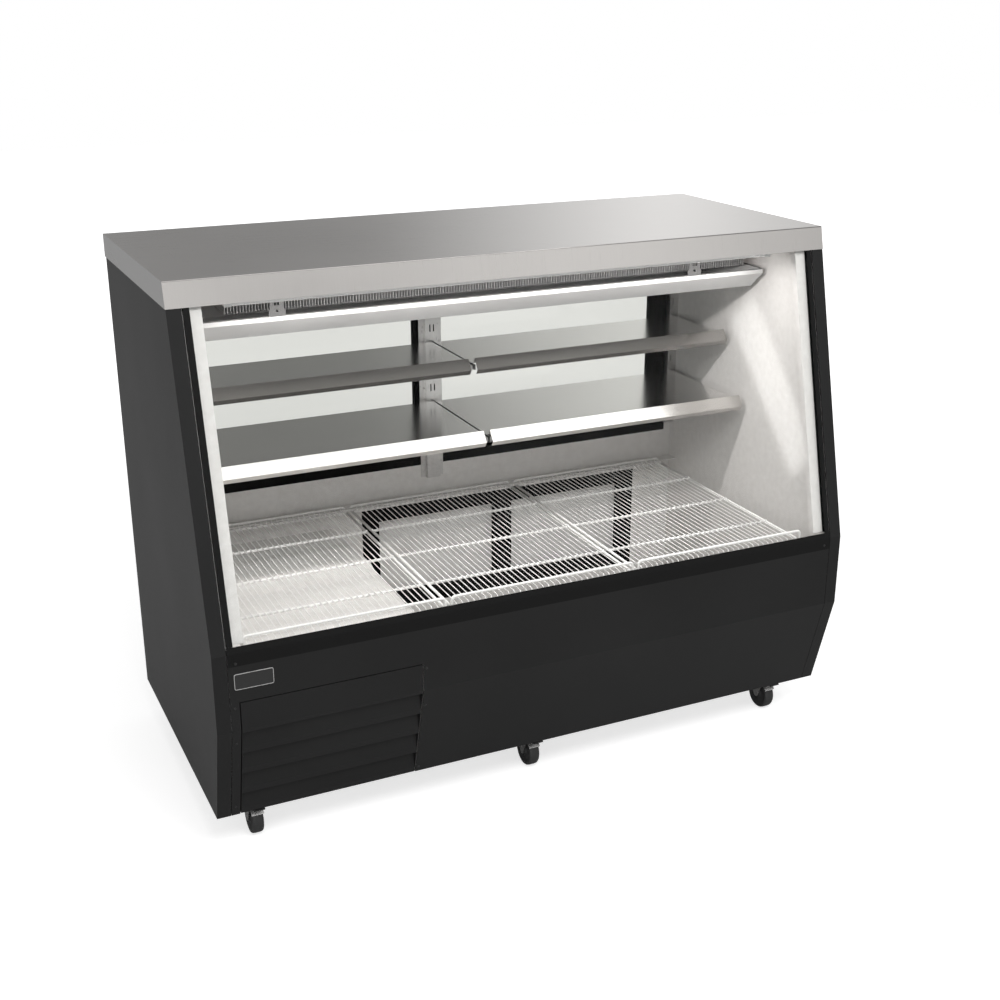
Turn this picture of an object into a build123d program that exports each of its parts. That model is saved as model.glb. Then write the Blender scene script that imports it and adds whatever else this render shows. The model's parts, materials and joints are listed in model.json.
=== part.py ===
from build123d import *
import os
from math import atan2, cos, hypot, radians, sin, tan

os.makedirs("parts", exist_ok=True)

# Deli display case, in millimetres. The origin lies on the floor under the middle of the case.
# X runs along the counter, Y from the customer's side to the server's side, Z up.

# Overall sizes
case_width = 1524.0
case_depth = 767.0
case_height = 1211.0
castor_height = 97.0
belly_fold_height = 499.0
lower_fold_height = 329.0
slope_setback = 166.7
toe_setback = 64.2
back_overhang = 8.5

# Sheets and walls
counter_sheet = 1.0
counter_skirt = 51.0
counter_edge_radius = 2.0
skin = 1.2
end_flange = 30.0
end_wall = 43.0
rear_wall_thickness = 52.0
front_wall_thickness = 33.0
floor_thickness = 55.0
top_deck_thickness = 39.0
pan_sheet = 2.0
pan_flange = 30.0
panel_seam = 1.0

# Front glass and its black frame
glass_thickness = 6.0
glass_slot = 6.8
glass_trim_width = 12.0
glass_trim_gap = 3.0
sill_lip = 14.4
sill_skirt = 27.0
sill_channel = 10.0
jamb_width = 27.0
jamb_depth = 14.0
liner = 1.0

# Rear sliding doors
upper_opening_half = 697.0
upper_opening_bottom = 576.0
upper_opening_top = 1150.0
jamb_face = 19.0
rail_face = 26.0
frame_depth = 46.0
track_depth = 18.0
door_stile = 50.0
door_rail = 34.0
door_thickness = 14.0
door_overlap = 16.0
door_glass_thickness = 4.0
door_running_gap = 0.5
door_tongue = 8.0
glass_rebate = 8.0
glass_edge_gap = 0.5
glass_face_gap = 0.2
track_wall = 2.0
track_setback = 6.0
pull_length = 120.0
pull_width = 20.0
pull_depth = 8.0

# Lower storage doors
storage_left = -196.0
storage_right = 602.0
storage_top = 478.0
storage_bottom = 189.0
storage_border = 46.0
storage_head = 40.0
storage_mullion = 50.0
storage_frame_depth = 18.5
storage_door_gap = 3.0
gasket_width = 14.0
gasket_inset = 8.0
gasket_thickness = 3.5
hinge_radius = 3.9
hinge_pin = 2.0
hinge_height = 60.0
hinge_gap = 0.2
hinge_leaf = 26.0
hinge_inset = 16.0
handle_length = 110.0
handle_height = 34.0
handle_depth = 16.0
handle_margin = 24.0

# Machine room under the raised deck on the left
room_right = -315.0
side_wall_thickness = 37.0
deck_bottom = 400.0
deck_back = 440.6
deck_ridge = 456.7
deck_ridge_y = 36.0
deck_step = 444.4
deck_step_y = -4.0
deck_front = 443.0

# Louvre panel in front of the machine room
louvre_left = -711.5
louvre_right = -315.5
louvre_top = 392.0
louvre_gap = 2.0
louvre_count = 4
louvre_start = 8.3
louvre_recess = 14.0
louvre_lip = 16.0
louvre_lap = 6.0

# Wire racks
rack_top = 508.0
rack_width = 441.0
rack_gap = 25.0
rack_front = -344.0
rack_back = 295.0
rack_wire = 3.5
rack_rod = 6.0
rack_wires = 24
rack_rods = (-231.0, -55.0, 121.0)
rack_drop = 18.0
rack_corner = 12.0
rack_ledge = 34.0
rack_lip = 9.0
ledge_sheet = 2.0

# Shelves
shelf_half = 702.0
shelf_seam = 5.0
shelf_back = 298.0
shelf_sheet = 1.2
shelf_slots = (1, 4)
shelf_rise = 17.4
shelf_noses = (-18.0, 66.0)
nose_rise = 12.3
nose_forward = 17.5
nose_fall = 24.5
nose_lip_back = 8.0
nose_lip_fall = 11.5
nose_end_gap = 8.0
bracket_sheet = 3.0
bracket_heel = 46.0
bracket_toe = 12.0

# Pilasters
pilaster_sheet = 1.5
pilaster_face = 32.0
pilaster_flange = 60.6
pilaster_proud = 15.0
pilaster_top = 1060.0
pilaster_bottom = 543.0
pilaster_end_width = 26.0
end_pilaster_bottom = 600.0
bracket_end_x = 700.0
slot_pitch = 50.8
slot_height = 18.5
slot_width = 3.4
slot_spacing = 9.7
lowest_slot = 681.0
slot_count = 8
hook_depth = 6.0
hook_height = 10.0

# Evaporator coil and drip pan
fin_left = -602.0
fin_right = 671.0
fin_pitch = 8.47
fin_sheet = 0.6
fin_tooth = 25.0
end_plate = 2.0
tube_stub = 8.0
fin_front = -45.0
fin_back = 125.0
fin_bottom = 1098.0
fin_top = 1166.0
tube_radius = 5.0
tube_rows = (-15.0, 40.0, 95.0)
tube_levels = (1115.0, 1149.0)
pan_half = 700.0
pan_lip_y = -87.0
pan_lip_top = 1096.0
pan_lip_face = 12.0
pan_belly_y = -42.0
pan_bottom = 1045.5
pan_back = 170.0
pan_skin = 1.2
hanger_shoulder = 1108.0
hanger_slot = 14.0
hanger_hole = 3.0
hanger_x = 505.0
hanger_width = 36.0
hanger_neck = 30.0
hanger_bottom = 1087.0
hanger_slot_z = 1120.0
hanger_hole_z = 1106.0

# Lamp under the top deck
lamp_half = 640.0
lamp_radius = 8.0
lamp_y = -188.0
lamp_drop = 17.0
lamp_base_width = 26.0
lamp_base_height = 7.0
lamp_socket = 14.0

# Castors
castor_x = 665.0
castor_front_y = -221.0
castor_back_y = 290.0
wheel_radius = 38.0
wheel_width = 25.0
wheel_trail = 25.0
axle_radius = 4.0
fork_sheet = 2.5
fork_gap = 1.2
plate_size = 60.0
plate_sheet = 3.0
race_radius = 22.0
race_height = 5.5
kingpin_radius = 5.0
kingpin_head = 9.0
kingpin_head_height = 4.0
crown_length = 30.0
stacking_gap = 0.3
pedal_forward = 46.0
pedal_height = 79.5
pedal_pin = 2.0
pedal_barrel = 4.0
pedal_length = 34.0
pedal_width = 24.0
pedal_sheet = 3.0
fork_end_radius = 9.0
cover_gap = 1.5
cover_sheet = 1.2
cover_step = 20.0
cover_steps = range(-1, 4)
wheel_edge = 3.0
wheel_sides = 48
running_clearance = 0.05

# Condensing unit
condenser_x = -518.0
condenser_width = 340.0
condenser_height = 232.0
condenser_thickness = 44.0
condenser_front = -290.0
condenser_foot = 12.0
shroud_depth = 36.0
shroud_sheet = 1.5
fan_radius = 104.0
fan_tip_gap = 4.0
fan_blades = 4
fan_hub = 20.0
fan_hub_length = 22.0
blade_sheet = 1.6
blade_root = 2.0
blade_width = 62.0
blade_pitch = 32.0
motor_radius = 38.0
motor_length = 64.0
motor_shaft = 3.0
motor_arm = 10.0
motor_stand_off = 14.0
compressor_radius = 82.0
compressor_x = -520.0
compressor_y = 60.0
compressor_height = 190.0
compressor_foot_height = 12.0
compressor_foot_radius = 12.0
compressor_foot_inset = 18.0
compressor_plate = 3.0
compressor_plate_size = 190.0
compressor_rim = 4.0
compressor_sides = 36
compressor_dome = 34.0
compressor_crown = 52.0
weld_height = 104.0
line_height = 64.0
line_radius = 5.0
line_bend = 28.0

# Rear cover of the machine room and the controls on it
vent_slot_length = 104.0
vent_slot_height = 6.0
vent_slot_pitch = 16.0
vent_column_pitch = 118.0
vent_columns = 3
vent_rows = 12
vent_slots_z = 215.0
knob_x = -450.0
knob_z = 350.0
knob_radius = 18.0
knob_height = 5.0
knob_grip = 7.0
knob_grip_rise = 2.5
knob_stem = 4.0
knob_tail = 8.0
switch_x = -380.0
switch_width = 18.0
switch_length = 26.0
switch_depth = 10.0
switch_rise = 4.0
switch_wall = 3.0
switch_pin = 1.5
switch_side_gap = 0.3

# Places worked out from the sizes above
switch_hole_width = switch_width + 2 * switch_side_gap
switch_hole_height = 2 * (hypot(switch_length / 2, switch_depth / 2) + switch_side_gap)
shelf_heights = [lowest_slot + index * slot_pitch + shelf_rise for index in shelf_slots]
half_width = case_width / 2 - counter_sheet
inner_half = half_width - end_wall
front_y = -case_depth / 2
back_y = case_depth / 2 - back_overhang
rear_inner_y = back_y - rear_wall_thickness
front_inner_y = front_y + front_wall_thickness
rear_skin_y = back_y - skin
switch_pivot_y = back_y - switch_depth / 2
body_top = case_height - counter_sheet
pan_bottom_z = castor_height + skin
pan_top = pan_bottom_z + pan_sheet
floor_z = castor_height + floor_thickness
deck_under = body_top - top_deck_thickness
slope_rise = case_height - belly_fold_height
toe_rise = lower_fold_height - castor_height
lean = atan2(slope_setback, slope_rise)
toe_lean = atan2(toe_setback, toe_rise)
panel_half = half_width - end_flange
frame_thickness = 2 * skin + glass_slot
wall_inset = frame_thickness + 1.0
wall_top_z = body_top - skin


def front_y_at(z, inset):
    """Depth of the sloping front at height z, set back by inset square to it."""
    return front_y + inset / cos(lean) + (z - belly_fold_height) * tan(lean)


def slope_point(up, inset):
    """The (y, z) of a point this far up the slope from the belly fold and this far behind its face."""
    return (front_y + up * sin(lean) + inset * cos(lean), belly_fold_height + up * cos(lean) - inset * sin(lean))


def toe_point(down, inset):
    """The (y, z) of a point this far down the toe from the lower fold and this far behind its face."""
    return (front_y + down * sin(toe_lean) + inset * cos(toe_lean),
            lower_fold_height - down * cos(toe_lean) + inset * sin(toe_lean))


def toe_y_at(z, inset):
    """Depth of the toe at height z, set back by inset square to it."""
    return front_y + inset / cos(toe_lean) + (lower_fold_height - z) * tan(toe_lean)


def lower_front(inset, bottom):
    """The front outline from bottom to the lower fold, set back by inset."""
    return [(toe_y_at(bottom, inset), bottom), (front_y + inset, lower_fold_height + inset * tan(toe_lean / 2))]


def front_line(inset, bottom, top):
    """The whole front outline from bottom to top, set back by inset."""
    start = lower_front(inset, bottom) if bottom < lower_fold_height else [(front_y + inset, bottom)]
    belly = (front_y + inset, belly_fold_height - inset * tan(lean / 2))
    return start + [belly, (front_y_at(top, inset), top)]


def slope_band(bottom, top, near, far):
    """A strip that follows the slope between two heights, from near to far behind its face."""
    return [(front_y_at(bottom, near), bottom), (front_y_at(top, near), top),
            (front_y_at(top, far), top), (front_y_at(bottom, far), bottom)]


def run_along_x(points, start, length):
    """A bar with this closed (y, z) outline, run along X."""
    with BuildPart() as bar:
        with BuildSketch(Plane.YZ.offset(start)):
            with BuildLine():
                Polyline(*points, close=True)
            make_face()
        extrude(amount=length)
    return bar.part


def folded_sheet(points, thickness, side, start, length):
    """A sheet folded along these (y, z) points, with its thickness on one side, run along X."""
    with BuildPart() as folded:
        with BuildSketch(Plane.YZ.offset(start)):
            with BuildLine():
                Polyline(*points)
                offset(amount=thickness, kind=Kind.INTERSECTION, side=side)
            make_face()
        extrude(amount=length)
    return folded.part


def block(x_range, y_range, z_range):
    """A rectangular block between two limits on each axis."""
    size = (x_range[1] - x_range[0], y_range[1] - y_range[0], z_range[1] - z_range[0])
    corner = (x_range[0], y_range[0], z_range[0])
    return Pos(*corner) * Box(*size, align=(Align.MIN, Align.MIN, Align.MIN), mode=Mode.PRIVATE)


def save(piece, label):
    """Labels a finished piece and writes it to its own file."""
    piece.part.label = label
    export_step(piece.part, f"parts/{label}.step")


# Base pan: the bottom sheet of the body, which the castors are bolted to
pan_front_y = toe_y_at(pan_bottom_z, skin + panel_seam)
with BuildPart() as base_pan:
    with BuildSketch(Plane.XY.offset(pan_bottom_z)):
        with BuildLine():
            Polyline((-half_width + skin, pan_front_y), (half_width - skin, pan_front_y),
                     (half_width - skin, rear_skin_y), (-half_width + skin, rear_skin_y), close=True)
        make_face()
    extrude(amount=pan_sheet)
save(base_pan, "base_pan")

# End panels: a flat skin with a flange all round, open towards the inside
with BuildPart() as right_end_panel:
    with BuildSketch(Plane.YZ.offset(half_width)):
        with BuildLine():
            Polyline(*front_line(0, castor_height, body_top), (back_y, body_top), (back_y, castor_height), close=True)
        make_face()
    extrude(amount=-end_flange)
    offset(amount=-skin, openings=right_end_panel.faces().sort_by(Axis.X)[0])
save(right_end_panel, "right_end_panel")

with BuildPart() as left_end_panel:
    mirror(right_end_panel.part, about=Plane.YZ)
save(left_end_panel, "left_end_panel")


def end_wall_block(bottom):
    """Foamed end wall with its liner, and the white jamb that the liner turns behind the glass."""
    with BuildPart() as wall:
        with BuildSketch(Plane.YZ.offset(inner_half)):
            with BuildLine():
                Polyline(*front_line(wall_inset, bottom, wall_top_z), (rear_skin_y, wall_top_z), (rear_skin_y, bottom),
                         close=True)
            make_face()
        extrude(amount=end_wall - skin)
        sill_top = belly_fold_height + sill_lip
        add(run_along_x(slope_band(sill_top, deck_under, wall_inset, wall_inset + liner),
                        inner_half - jamb_width, jamb_width))
        add(run_along_x(slope_band(sill_top, deck_under, wall_inset, wall_inset + jamb_depth),
                        inner_half - jamb_width, liner))
    return wall.part


# End walls: the left one stops at the machine room's ceiling
with BuildPart() as right_end_wall:
    add(end_wall_block(pan_top))
save(right_end_wall, "right_end_wall")

with BuildPart() as left_end_wall:
    mirror(end_wall_block(deck_bottom), about=Plane.YZ)
save(left_end_wall, "left_end_wall")

# Storage tub: foamed front wall and floor in one, with a ledge that carries the racks' front ends
wall_top = slope_point(0, frame_thickness)
wall_outline = lower_front(skin, pan_top) + [slope_point(0, skin / cos(lean)), wall_top, (front_inner_y, wall_top[1])]
ledge_top = rack_top - rack_wire - rack_drop
with BuildPart() as storage_tub:
    tub_left = room_right + side_wall_thickness
    add(run_along_x(wall_outline + lower_front(front_wall_thickness, floor_z)[::-1]
                    + [(rear_inner_y, floor_z), (rear_inner_y, pan_top)], tub_left, inner_half - tub_left))
    add(run_along_x(wall_outline + lower_front(front_wall_thickness, pan_top)[::-1], room_right, side_wall_thickness))
    header = [(front_y + skin, deck_bottom)] + wall_outline[2:] + [(front_inner_y, deck_bottom)]
    add(run_along_x(header, -inner_half, inner_half + room_right))
    add(block((-inner_half, inner_half), (front_inner_y, rack_front + rack_lip), (ledge_top - ledge_sheet, ledge_top)))
save(storage_tub, "storage_tub")

# Machine deck: the raised floor over the machine room with its side wall
with BuildPart() as machine_deck:
    deck_outline = [(front_inner_y, deck_bottom), (front_inner_y, deck_front), (deck_step_y, deck_step),
                    (deck_ridge_y, deck_ridge), (rear_inner_y, deck_back), (rear_inner_y, deck_bottom)]
    deck_right = room_right + side_wall_thickness
    add(run_along_x(deck_outline, -inner_half, inner_half + deck_right))
    add(run_along_x(lower_front(front_wall_thickness, pan_top) + [(front_inner_y, deck_bottom),
                    (rear_inner_y, deck_bottom), (rear_inner_y, pan_top)], room_right, side_wall_thickness))
save(machine_deck, "machine_deck")

# Front panel: the black skin with a gap for the louvre panel and a return under the case
with BuildPart() as front_panel:
    sill_bottom = belly_fold_height - sill_skirt
    outer = lower_front(0, castor_height) + [(front_y, sill_bottom)]
    inner = [(front_y + skin, sill_bottom)] + lower_front(skin, castor_height + skin)[::-1]
    returned = [(toe_y_at(castor_height, 0) + pan_flange, castor_height + skin),
                (toe_y_at(castor_height, 0) + pan_flange, castor_height)]
    add(run_along_x(outer + inner + returned, -panel_half + panel_seam, 2 * (panel_half - panel_seam)))
    with BuildSketch(Plane.XZ.offset(-front_y - front_wall_thickness)):
        with Locations(((louvre_left + louvre_right) / 2, louvre_top)):
            Rectangle(louvre_right - louvre_left, case_height, align=(Align.CENTER, Align.MAX))
    extrude(amount=front_wall_thickness + toe_setback, both=True, mode=Mode.SUBTRACT)
save(front_panel, "front_panel")

# Glass frame: the sill that the glass stands in and the channels down its two sides
with BuildPart() as glass_frame:
    add(run_along_x([(front_y, sill_bottom), (front_y, belly_fold_height), slope_point(sill_lip, 0),
                     slope_point(sill_lip, skin), slope_point(skin, skin), slope_point(skin, skin + glass_slot),
                     slope_point(sill_channel, skin + glass_slot), slope_point(sill_channel, frame_thickness),
                     slope_point(0, frame_thickness), slope_point(0, skin / cos(lean)), (front_y + skin, sill_bottom)],
                    -panel_half + panel_seam, 2 * (panel_half - panel_seam)))
    channel_top = deck_under
    channel_bottom = belly_fold_height + sill_lip
    channel_outer = panel_half - glass_trim_gap
    for side in (-1, 1):
        edges = sorted((side * channel_outer, side * (channel_outer - glass_trim_width)))
        slot = sorted((side * (channel_outer - skin), side * (channel_outer - 2 * glass_trim_width)))
        add(run_along_x(slope_band(channel_bottom, channel_top, 0, frame_thickness), edges[0], edges[1] - edges[0]))
        add(run_along_x(slope_band(channel_bottom - 1, channel_top + 1, skin, skin + glass_slot),
                        slot[0], slot[1] - slot[0]), mode=Mode.SUBTRACT)
save(glass_frame, "glass_frame")

# Front glass: it stands in the sill and tucks up behind the counter's skirt
glass_half = channel_outer - skin - 1.0
glass_front = skin + (glass_slot - glass_thickness) / 2
glass_foot = skin + 0.3
with BuildPart() as front_glass:
    glass_reach = (deck_under - belly_fold_height) / cos(lean)
    add(run_along_x([slope_point(glass_foot, glass_front), slope_point(glass_reach, glass_front),
                     slope_point(glass_reach, glass_front + glass_thickness),
                     slope_point(glass_foot, glass_front + glass_thickness)], -glass_half, 2 * glass_half))
save(front_glass, "front_glass")

# Countertop: a folded sheet with a skirt on all four sides and a softened front edge
with BuildPart() as countertop:
    skirt_bottom = case_height - counter_skirt
    with BuildSketch(Plane.YZ.offset(-case_width / 2)):
        with BuildLine():
            Polyline((front_y_at(skirt_bottom, -counter_sheet), skirt_bottom),
                     (front_y_at(case_height, -counter_sheet), case_height),
                     (case_depth / 2, case_height), (case_depth / 2, skirt_bottom), close=True)
        make_face()
    extrude(amount=case_width)
    offset(amount=-counter_sheet, openings=countertop.faces().sort_by(Axis.Z)[0])
    top_face = countertop.faces().sort_by(Axis.Z)[-1]
    fillet(top_face.edges().sort_by(Axis.Y)[0], radius=counter_edge_radius - counter_sheet)
save(countertop, "countertop")

# Top deck: the insulated slab under the countertop
with BuildPart() as top_deck:
    add(run_along_x([(front_y_at(deck_under, wall_inset), deck_under), (front_y_at(body_top, wall_inset), body_top),
                     (rear_inner_y, body_top), (rear_inner_y, deck_under)], -inner_half, 2 * inner_half))
save(top_deck, "top_deck")

# Rear wall: foamed, with openings for both pairs of doors and an open machine room
with BuildPart() as rear_wall:
    add(block((-inner_half, inner_half), (rear_inner_y, rear_skin_y), (pan_top, body_top)))
    add(block((-upper_opening_half, upper_opening_half), (rear_inner_y, rear_skin_y),
              (upper_opening_bottom, upper_opening_top)), mode=Mode.SUBTRACT)
    add(block((storage_left, storage_right), (rear_inner_y, rear_skin_y), (storage_bottom, storage_top)),
        mode=Mode.SUBTRACT)
    add(block((-inner_half, room_right), (rear_inner_y, rear_skin_y), (pan_top, deck_bottom)), mode=Mode.SUBTRACT)
    rack_seat = rack_top - rack_wire - rack_rod
    add(block((-inner_half, inner_half), (rear_inner_y - rack_ledge, rear_inner_y), (rack_seat - ledge_sheet, rack_seat)))
save(rear_wall, "rear_wall")

# Rear panel: the black outer skin between the end panels' flanges
with BuildPart() as rear_panel:
    add(block((-panel_half + panel_seam, panel_half - panel_seam), (rear_skin_y, back_y), (castor_height, body_top)))
    add(block((-upper_opening_half, upper_opening_half), (rear_skin_y, back_y),
              (upper_opening_bottom, upper_opening_top)), mode=Mode.SUBTRACT)
    add(block((storage_left, storage_right), (rear_skin_y, back_y), (storage_bottom, storage_top)), mode=Mode.SUBTRACT)
    add(block((-panel_half + panel_seam, room_right), (rear_skin_y, back_y), (castor_height, deck_bottom)),
        mode=Mode.SUBTRACT)
save(rear_panel, "rear_panel")

# Rear cover of the machine room: a sheet with rows of air slots and a plate for the controls
with BuildPart() as rear_vent_panel:
    vent_left = -panel_half + panel_seam
    vent_right = room_right - panel_seam
    vent_middle = (vent_left + vent_right) / 2
    with BuildSketch(Plane.XZ.offset(-back_y)):
        with Locations((vent_middle, (castor_height + deck_bottom) / 2)):
            Rectangle(vent_right - vent_left, deck_bottom - castor_height - 2 * panel_seam)
        with Locations((vent_middle, vent_slots_z)):
            with GridLocations(vent_column_pitch, vent_slot_pitch, vent_columns, vent_rows):
                Rectangle(vent_slot_length, vent_slot_height, mode=Mode.SUBTRACT)
        with Locations((knob_x, knob_z)):
            Circle(knob_stem + running_clearance, mode=Mode.SUBTRACT)
        with Locations((switch_x, knob_z)):
            Rectangle(switch_hole_width, switch_hole_height, mode=Mode.SUBTRACT)
    extrude(amount=skin)
    with BuildSketch(Plane.XZ.offset(-back_y)):
        with Locations((switch_x, knob_z)):
            Rectangle(switch_hole_width + 2 * switch_wall, switch_hole_height + 2 * switch_wall)
            Rectangle(switch_hole_width, switch_hole_height, mode=Mode.SUBTRACT)
    extrude(amount=skin + switch_depth)
    with BuildSketch(Plane.YZ.offset(switch_x)):
        with Locations((switch_pivot_y, knob_z)):
            Circle(switch_pin + running_clearance)
    extrude(amount=switch_hole_width / 2 + switch_wall, both=True, mode=Mode.SUBTRACT)
save(rear_vent_panel, "rear_vent_panel")


def rectangular_ring(x_range, z_range, y_front, y_back, borders):
    """A frame in the plane of the rear wall; borders are left, right, bottom and top."""
    left, right, bottom, top = borders
    with BuildPart() as ring:
        add(block(x_range, (y_front, y_back), z_range))
        add(block((x_range[0] + left, x_range[1] - right), (y_front, y_back),
                  (z_range[0] + bottom, z_range[1] - top)), mode=Mode.SUBTRACT)
    return ring.part


# Upper door frame: black jambs and rails with two tracks for the sliding doors
inner_track_y = rear_inner_y + track_setback
outer_track_y = inner_track_y + track_depth + track_wall
door_low = upper_opening_bottom + rail_face - door_tongue
door_high = upper_opening_top - rail_face + door_tongue
with BuildPart() as upper_door_frame:
    add(rectangular_ring((-upper_opening_half, upper_opening_half), (upper_opening_bottom, upper_opening_top),
                         rear_inner_y, rear_inner_y + frame_depth, (jamb_face, jamb_face, rail_face, rail_face)))
    for track_y in (inner_track_y, outer_track_y):
        reach = upper_opening_half - jamb_face
        add(block((-reach, reach), (track_y, track_y + track_depth),
                  (door_low - door_running_gap, door_high + door_running_gap)), mode=Mode.SUBTRACT)
save(upper_door_frame, "upper_door_frame")


def sliding_door(x_range, track_y):
    """The frame of a sliding door with its glass rebate and a finger pull cut in its outer stile."""
    door_y = track_y + (track_depth - door_thickness) / 2
    glass_y = door_y + (door_thickness - door_glass_thickness) / 2
    outer_edge = max(x_range, key=abs)
    pull_x = outer_edge - door_stile / 2 if outer_edge > 0 else outer_edge + door_stile / 2
    with BuildPart() as door:
        add(rectangular_ring(x_range, (door_low, door_high), door_y, door_y + door_thickness,
                             (door_stile, door_stile, door_rail, door_rail)))
        add(block((x_range[0] + door_stile - glass_rebate, x_range[1] - door_stile + glass_rebate),
                  (glass_y - glass_face_gap, glass_y + door_glass_thickness + glass_face_gap),
                  (door_low + door_rail - glass_rebate, door_high - door_rail + glass_rebate)), mode=Mode.SUBTRACT)
        with BuildSketch(Plane.XZ.offset(-(door_y + door_thickness))):
            with Locations((pull_x, (door_low + door_high) / 2)):
                SlotOverall(pull_length, pull_width, rotation=90)
        extrude(amount=pull_depth, mode=Mode.SUBTRACT)
    return door.part


def sliding_glass(x_range, track_y):
    """The pane that sits in a sliding door's rebate."""
    glass_y = track_y + (track_depth - door_glass_thickness) / 2
    held = glass_rebate - glass_edge_gap
    return block((x_range[0] + door_stile - held, x_range[1] - door_stile + held),
                 (glass_y, glass_y + door_glass_thickness), (door_low + door_rail - held, door_high - door_rail + held))


door_reach = upper_opening_half - jamb_face - door_running_gap
left_door_x = (-door_reach, door_overlap / 2)
right_door_x = (-door_overlap / 2, door_reach)
with BuildPart() as left_sliding_door:
    add(sliding_door(left_door_x, inner_track_y))
save(left_sliding_door, "left_sliding_door")
with BuildPart() as left_door_glass:
    add(sliding_glass(left_door_x, inner_track_y))
save(left_door_glass, "left_door_glass")
with BuildPart() as right_sliding_door:
    add(sliding_door(right_door_x, outer_track_y))
save(right_sliding_door, "right_sliding_door")
with BuildPart() as right_door_glass:
    add(sliding_glass(right_door_x, outer_track_y))
save(right_door_glass, "right_door_glass")

# Storage door frame: black border and mullion at the inner side of the lower opening
mullion_x = (storage_left + storage_right) / 2
frame_back_y = rear_inner_y + storage_frame_depth
with BuildPart() as storage_door_frame:
    add(rectangular_ring((storage_left, storage_right), (storage_bottom, storage_top), rear_inner_y, frame_back_y,
                         (storage_border, storage_border, storage_head, storage_head)))
    add(block((mullion_x - storage_mullion / 2, mullion_x + storage_mullion / 2), (rear_inner_y, frame_back_y),
              (storage_bottom, storage_top)))
save(storage_door_frame, "storage_door_frame")

# Storage doors: foamed, each with a gasket, a pull recess and one leaf of its two hinges
hinge_x = {-1: storage_left + storage_door_gap / 2, 1: storage_right - storage_door_gap / 2}
hinge_y = back_y + hinge_radius + 0.3
hinge_lows = (storage_bottom + hinge_inset, storage_top - hinge_inset - hinge_height)
door_front_y = frame_back_y + gasket_thickness
door_back_y = back_y


def hinge_part(side, low, z_range, toward):
    """One knuckle of a hinge with the leaf that it rolls out of; toward is the leaf's direction along X."""
    leaf = sorted((hinge_x[side] + toward * 0.3, hinge_x[side] + toward * hinge_leaf))
    with BuildPart() as knuckle:
        with BuildSketch(Plane.XY.offset(low + z_range[0])):
            with Locations((hinge_x[side], hinge_y)):
                Circle(hinge_radius)
        extrude(amount=z_range[1] - z_range[0])
        add(block(leaf, (back_y, back_y + skin), (low + z_range[0], low + z_range[1])))
    return knuckle.part


# Lift-off hinges: a lower knuckle on the panel, whose pin stands up into the door's knuckle
with BuildPart() as storage_hinges:
    for side in (-1, 1):
        for low in hinge_lows:
            add(hinge_part(side, low, (0, hinge_height / 2), side))
            with BuildSketch(Plane.XY.offset(low)):
                with Locations((hinge_x[side], hinge_y)):
                    Circle(hinge_pin)
            extrude(amount=hinge_height)
save(storage_hinges, "storage_hinges")


def storage_door(side):
    """One door; side is -1 for the door that hinges at its left edge and 1 for the other."""
    x_near = mullion_x + side * storage_door_gap / 2
    x_far = (storage_right if side > 0 else storage_left) - side * storage_door_gap
    x_range = sorted((x_near, x_far))
    low = storage_bottom + storage_door_gap
    high = storage_top - storage_door_gap
    pull_x = x_near + side * (handle_margin + handle_length / 2)
    upper_half = (hinge_height / 2 + hinge_gap, hinge_height)
    with BuildPart() as door:
        add(block(x_range, (door_front_y, door_back_y), (low, high)))
        add(block(sorted((pull_x - handle_length / 2, pull_x + handle_length / 2)),
                  (door_back_y - handle_depth, door_back_y), (high - handle_margin - handle_height, high - handle_margin)),
            mode=Mode.SUBTRACT)
        add(rectangular_ring((x_range[0] + gasket_inset, x_range[1] - gasket_inset),
                             (low + gasket_inset, high - gasket_inset), frame_back_y + 0.3, door_front_y,
                             (gasket_width, gasket_width, gasket_width, gasket_width)))
        for hinge_low in hinge_lows:
            add(hinge_part(side, hinge_low, upper_half, -side))
            with BuildSketch(Plane.XY.offset(hinge_low)):
                with Locations((hinge_x[side], hinge_y)):
                    Circle(hinge_pin + running_clearance)
            extrude(amount=hinge_height, mode=Mode.SUBTRACT)
    return door.part


with BuildPart() as left_storage_door:
    add(storage_door(-1))
save(left_storage_door, "left_storage_door")
with BuildPart() as right_storage_door:
    add(storage_door(1))
save(right_storage_door, "right_storage_door")

# Louvre panel: a flat top, overlapping slats down the toe, and a cheek at each end
grille_left = louvre_left + louvre_gap
grille_right = louvre_right - louvre_gap
grille_top = louvre_top - louvre_gap
grille_width = grille_right - grille_left
cheek_depth = louvre_recess + 2 * skin
louvre_pitch = (toe_rise / cos(toe_lean) - louvre_start) / louvre_count
with BuildPart() as louvre_grille:
    inner_fold = (front_y + skin, lower_fold_height + skin * tan(toe_lean / 2))
    add(run_along_x([(front_y, grille_top), (front_y, lower_fold_height), toe_point(louvre_start, 0),
                     toe_point(louvre_start, skin), inner_fold, (front_y + skin, grille_top - skin),
                     (front_y + cheek_depth, grille_top - skin), (front_y + cheek_depth, grille_top)],
                    grille_left, grille_width))
    for index in range(louvre_count):
        down = louvre_start + index * louvre_pitch
        knee = down + louvre_pitch - louvre_lip
        tip = down + louvre_pitch - skin
        add(run_along_x([toe_point(down - louvre_lap, louvre_recess), toe_point(knee, 0), toe_point(tip, 0),
                         toe_point(tip, skin), toe_point(knee, skin), toe_point(down - louvre_lap, louvre_recess + skin)],
                        grille_left, grille_width))
    cheek_bottom = pan_top + stacking_gap
    cheek = (lower_front(0, cheek_bottom) + [(front_y, grille_top), (front_y + cheek_depth, grille_top)]
             + lower_front(cheek_depth, cheek_bottom)[::-1])
    add(run_along_x(cheek, grille_left, skin))
    add(run_along_x(cheek, grille_right - skin, skin))
save(louvre_grille, "louvre_grille")


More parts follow.
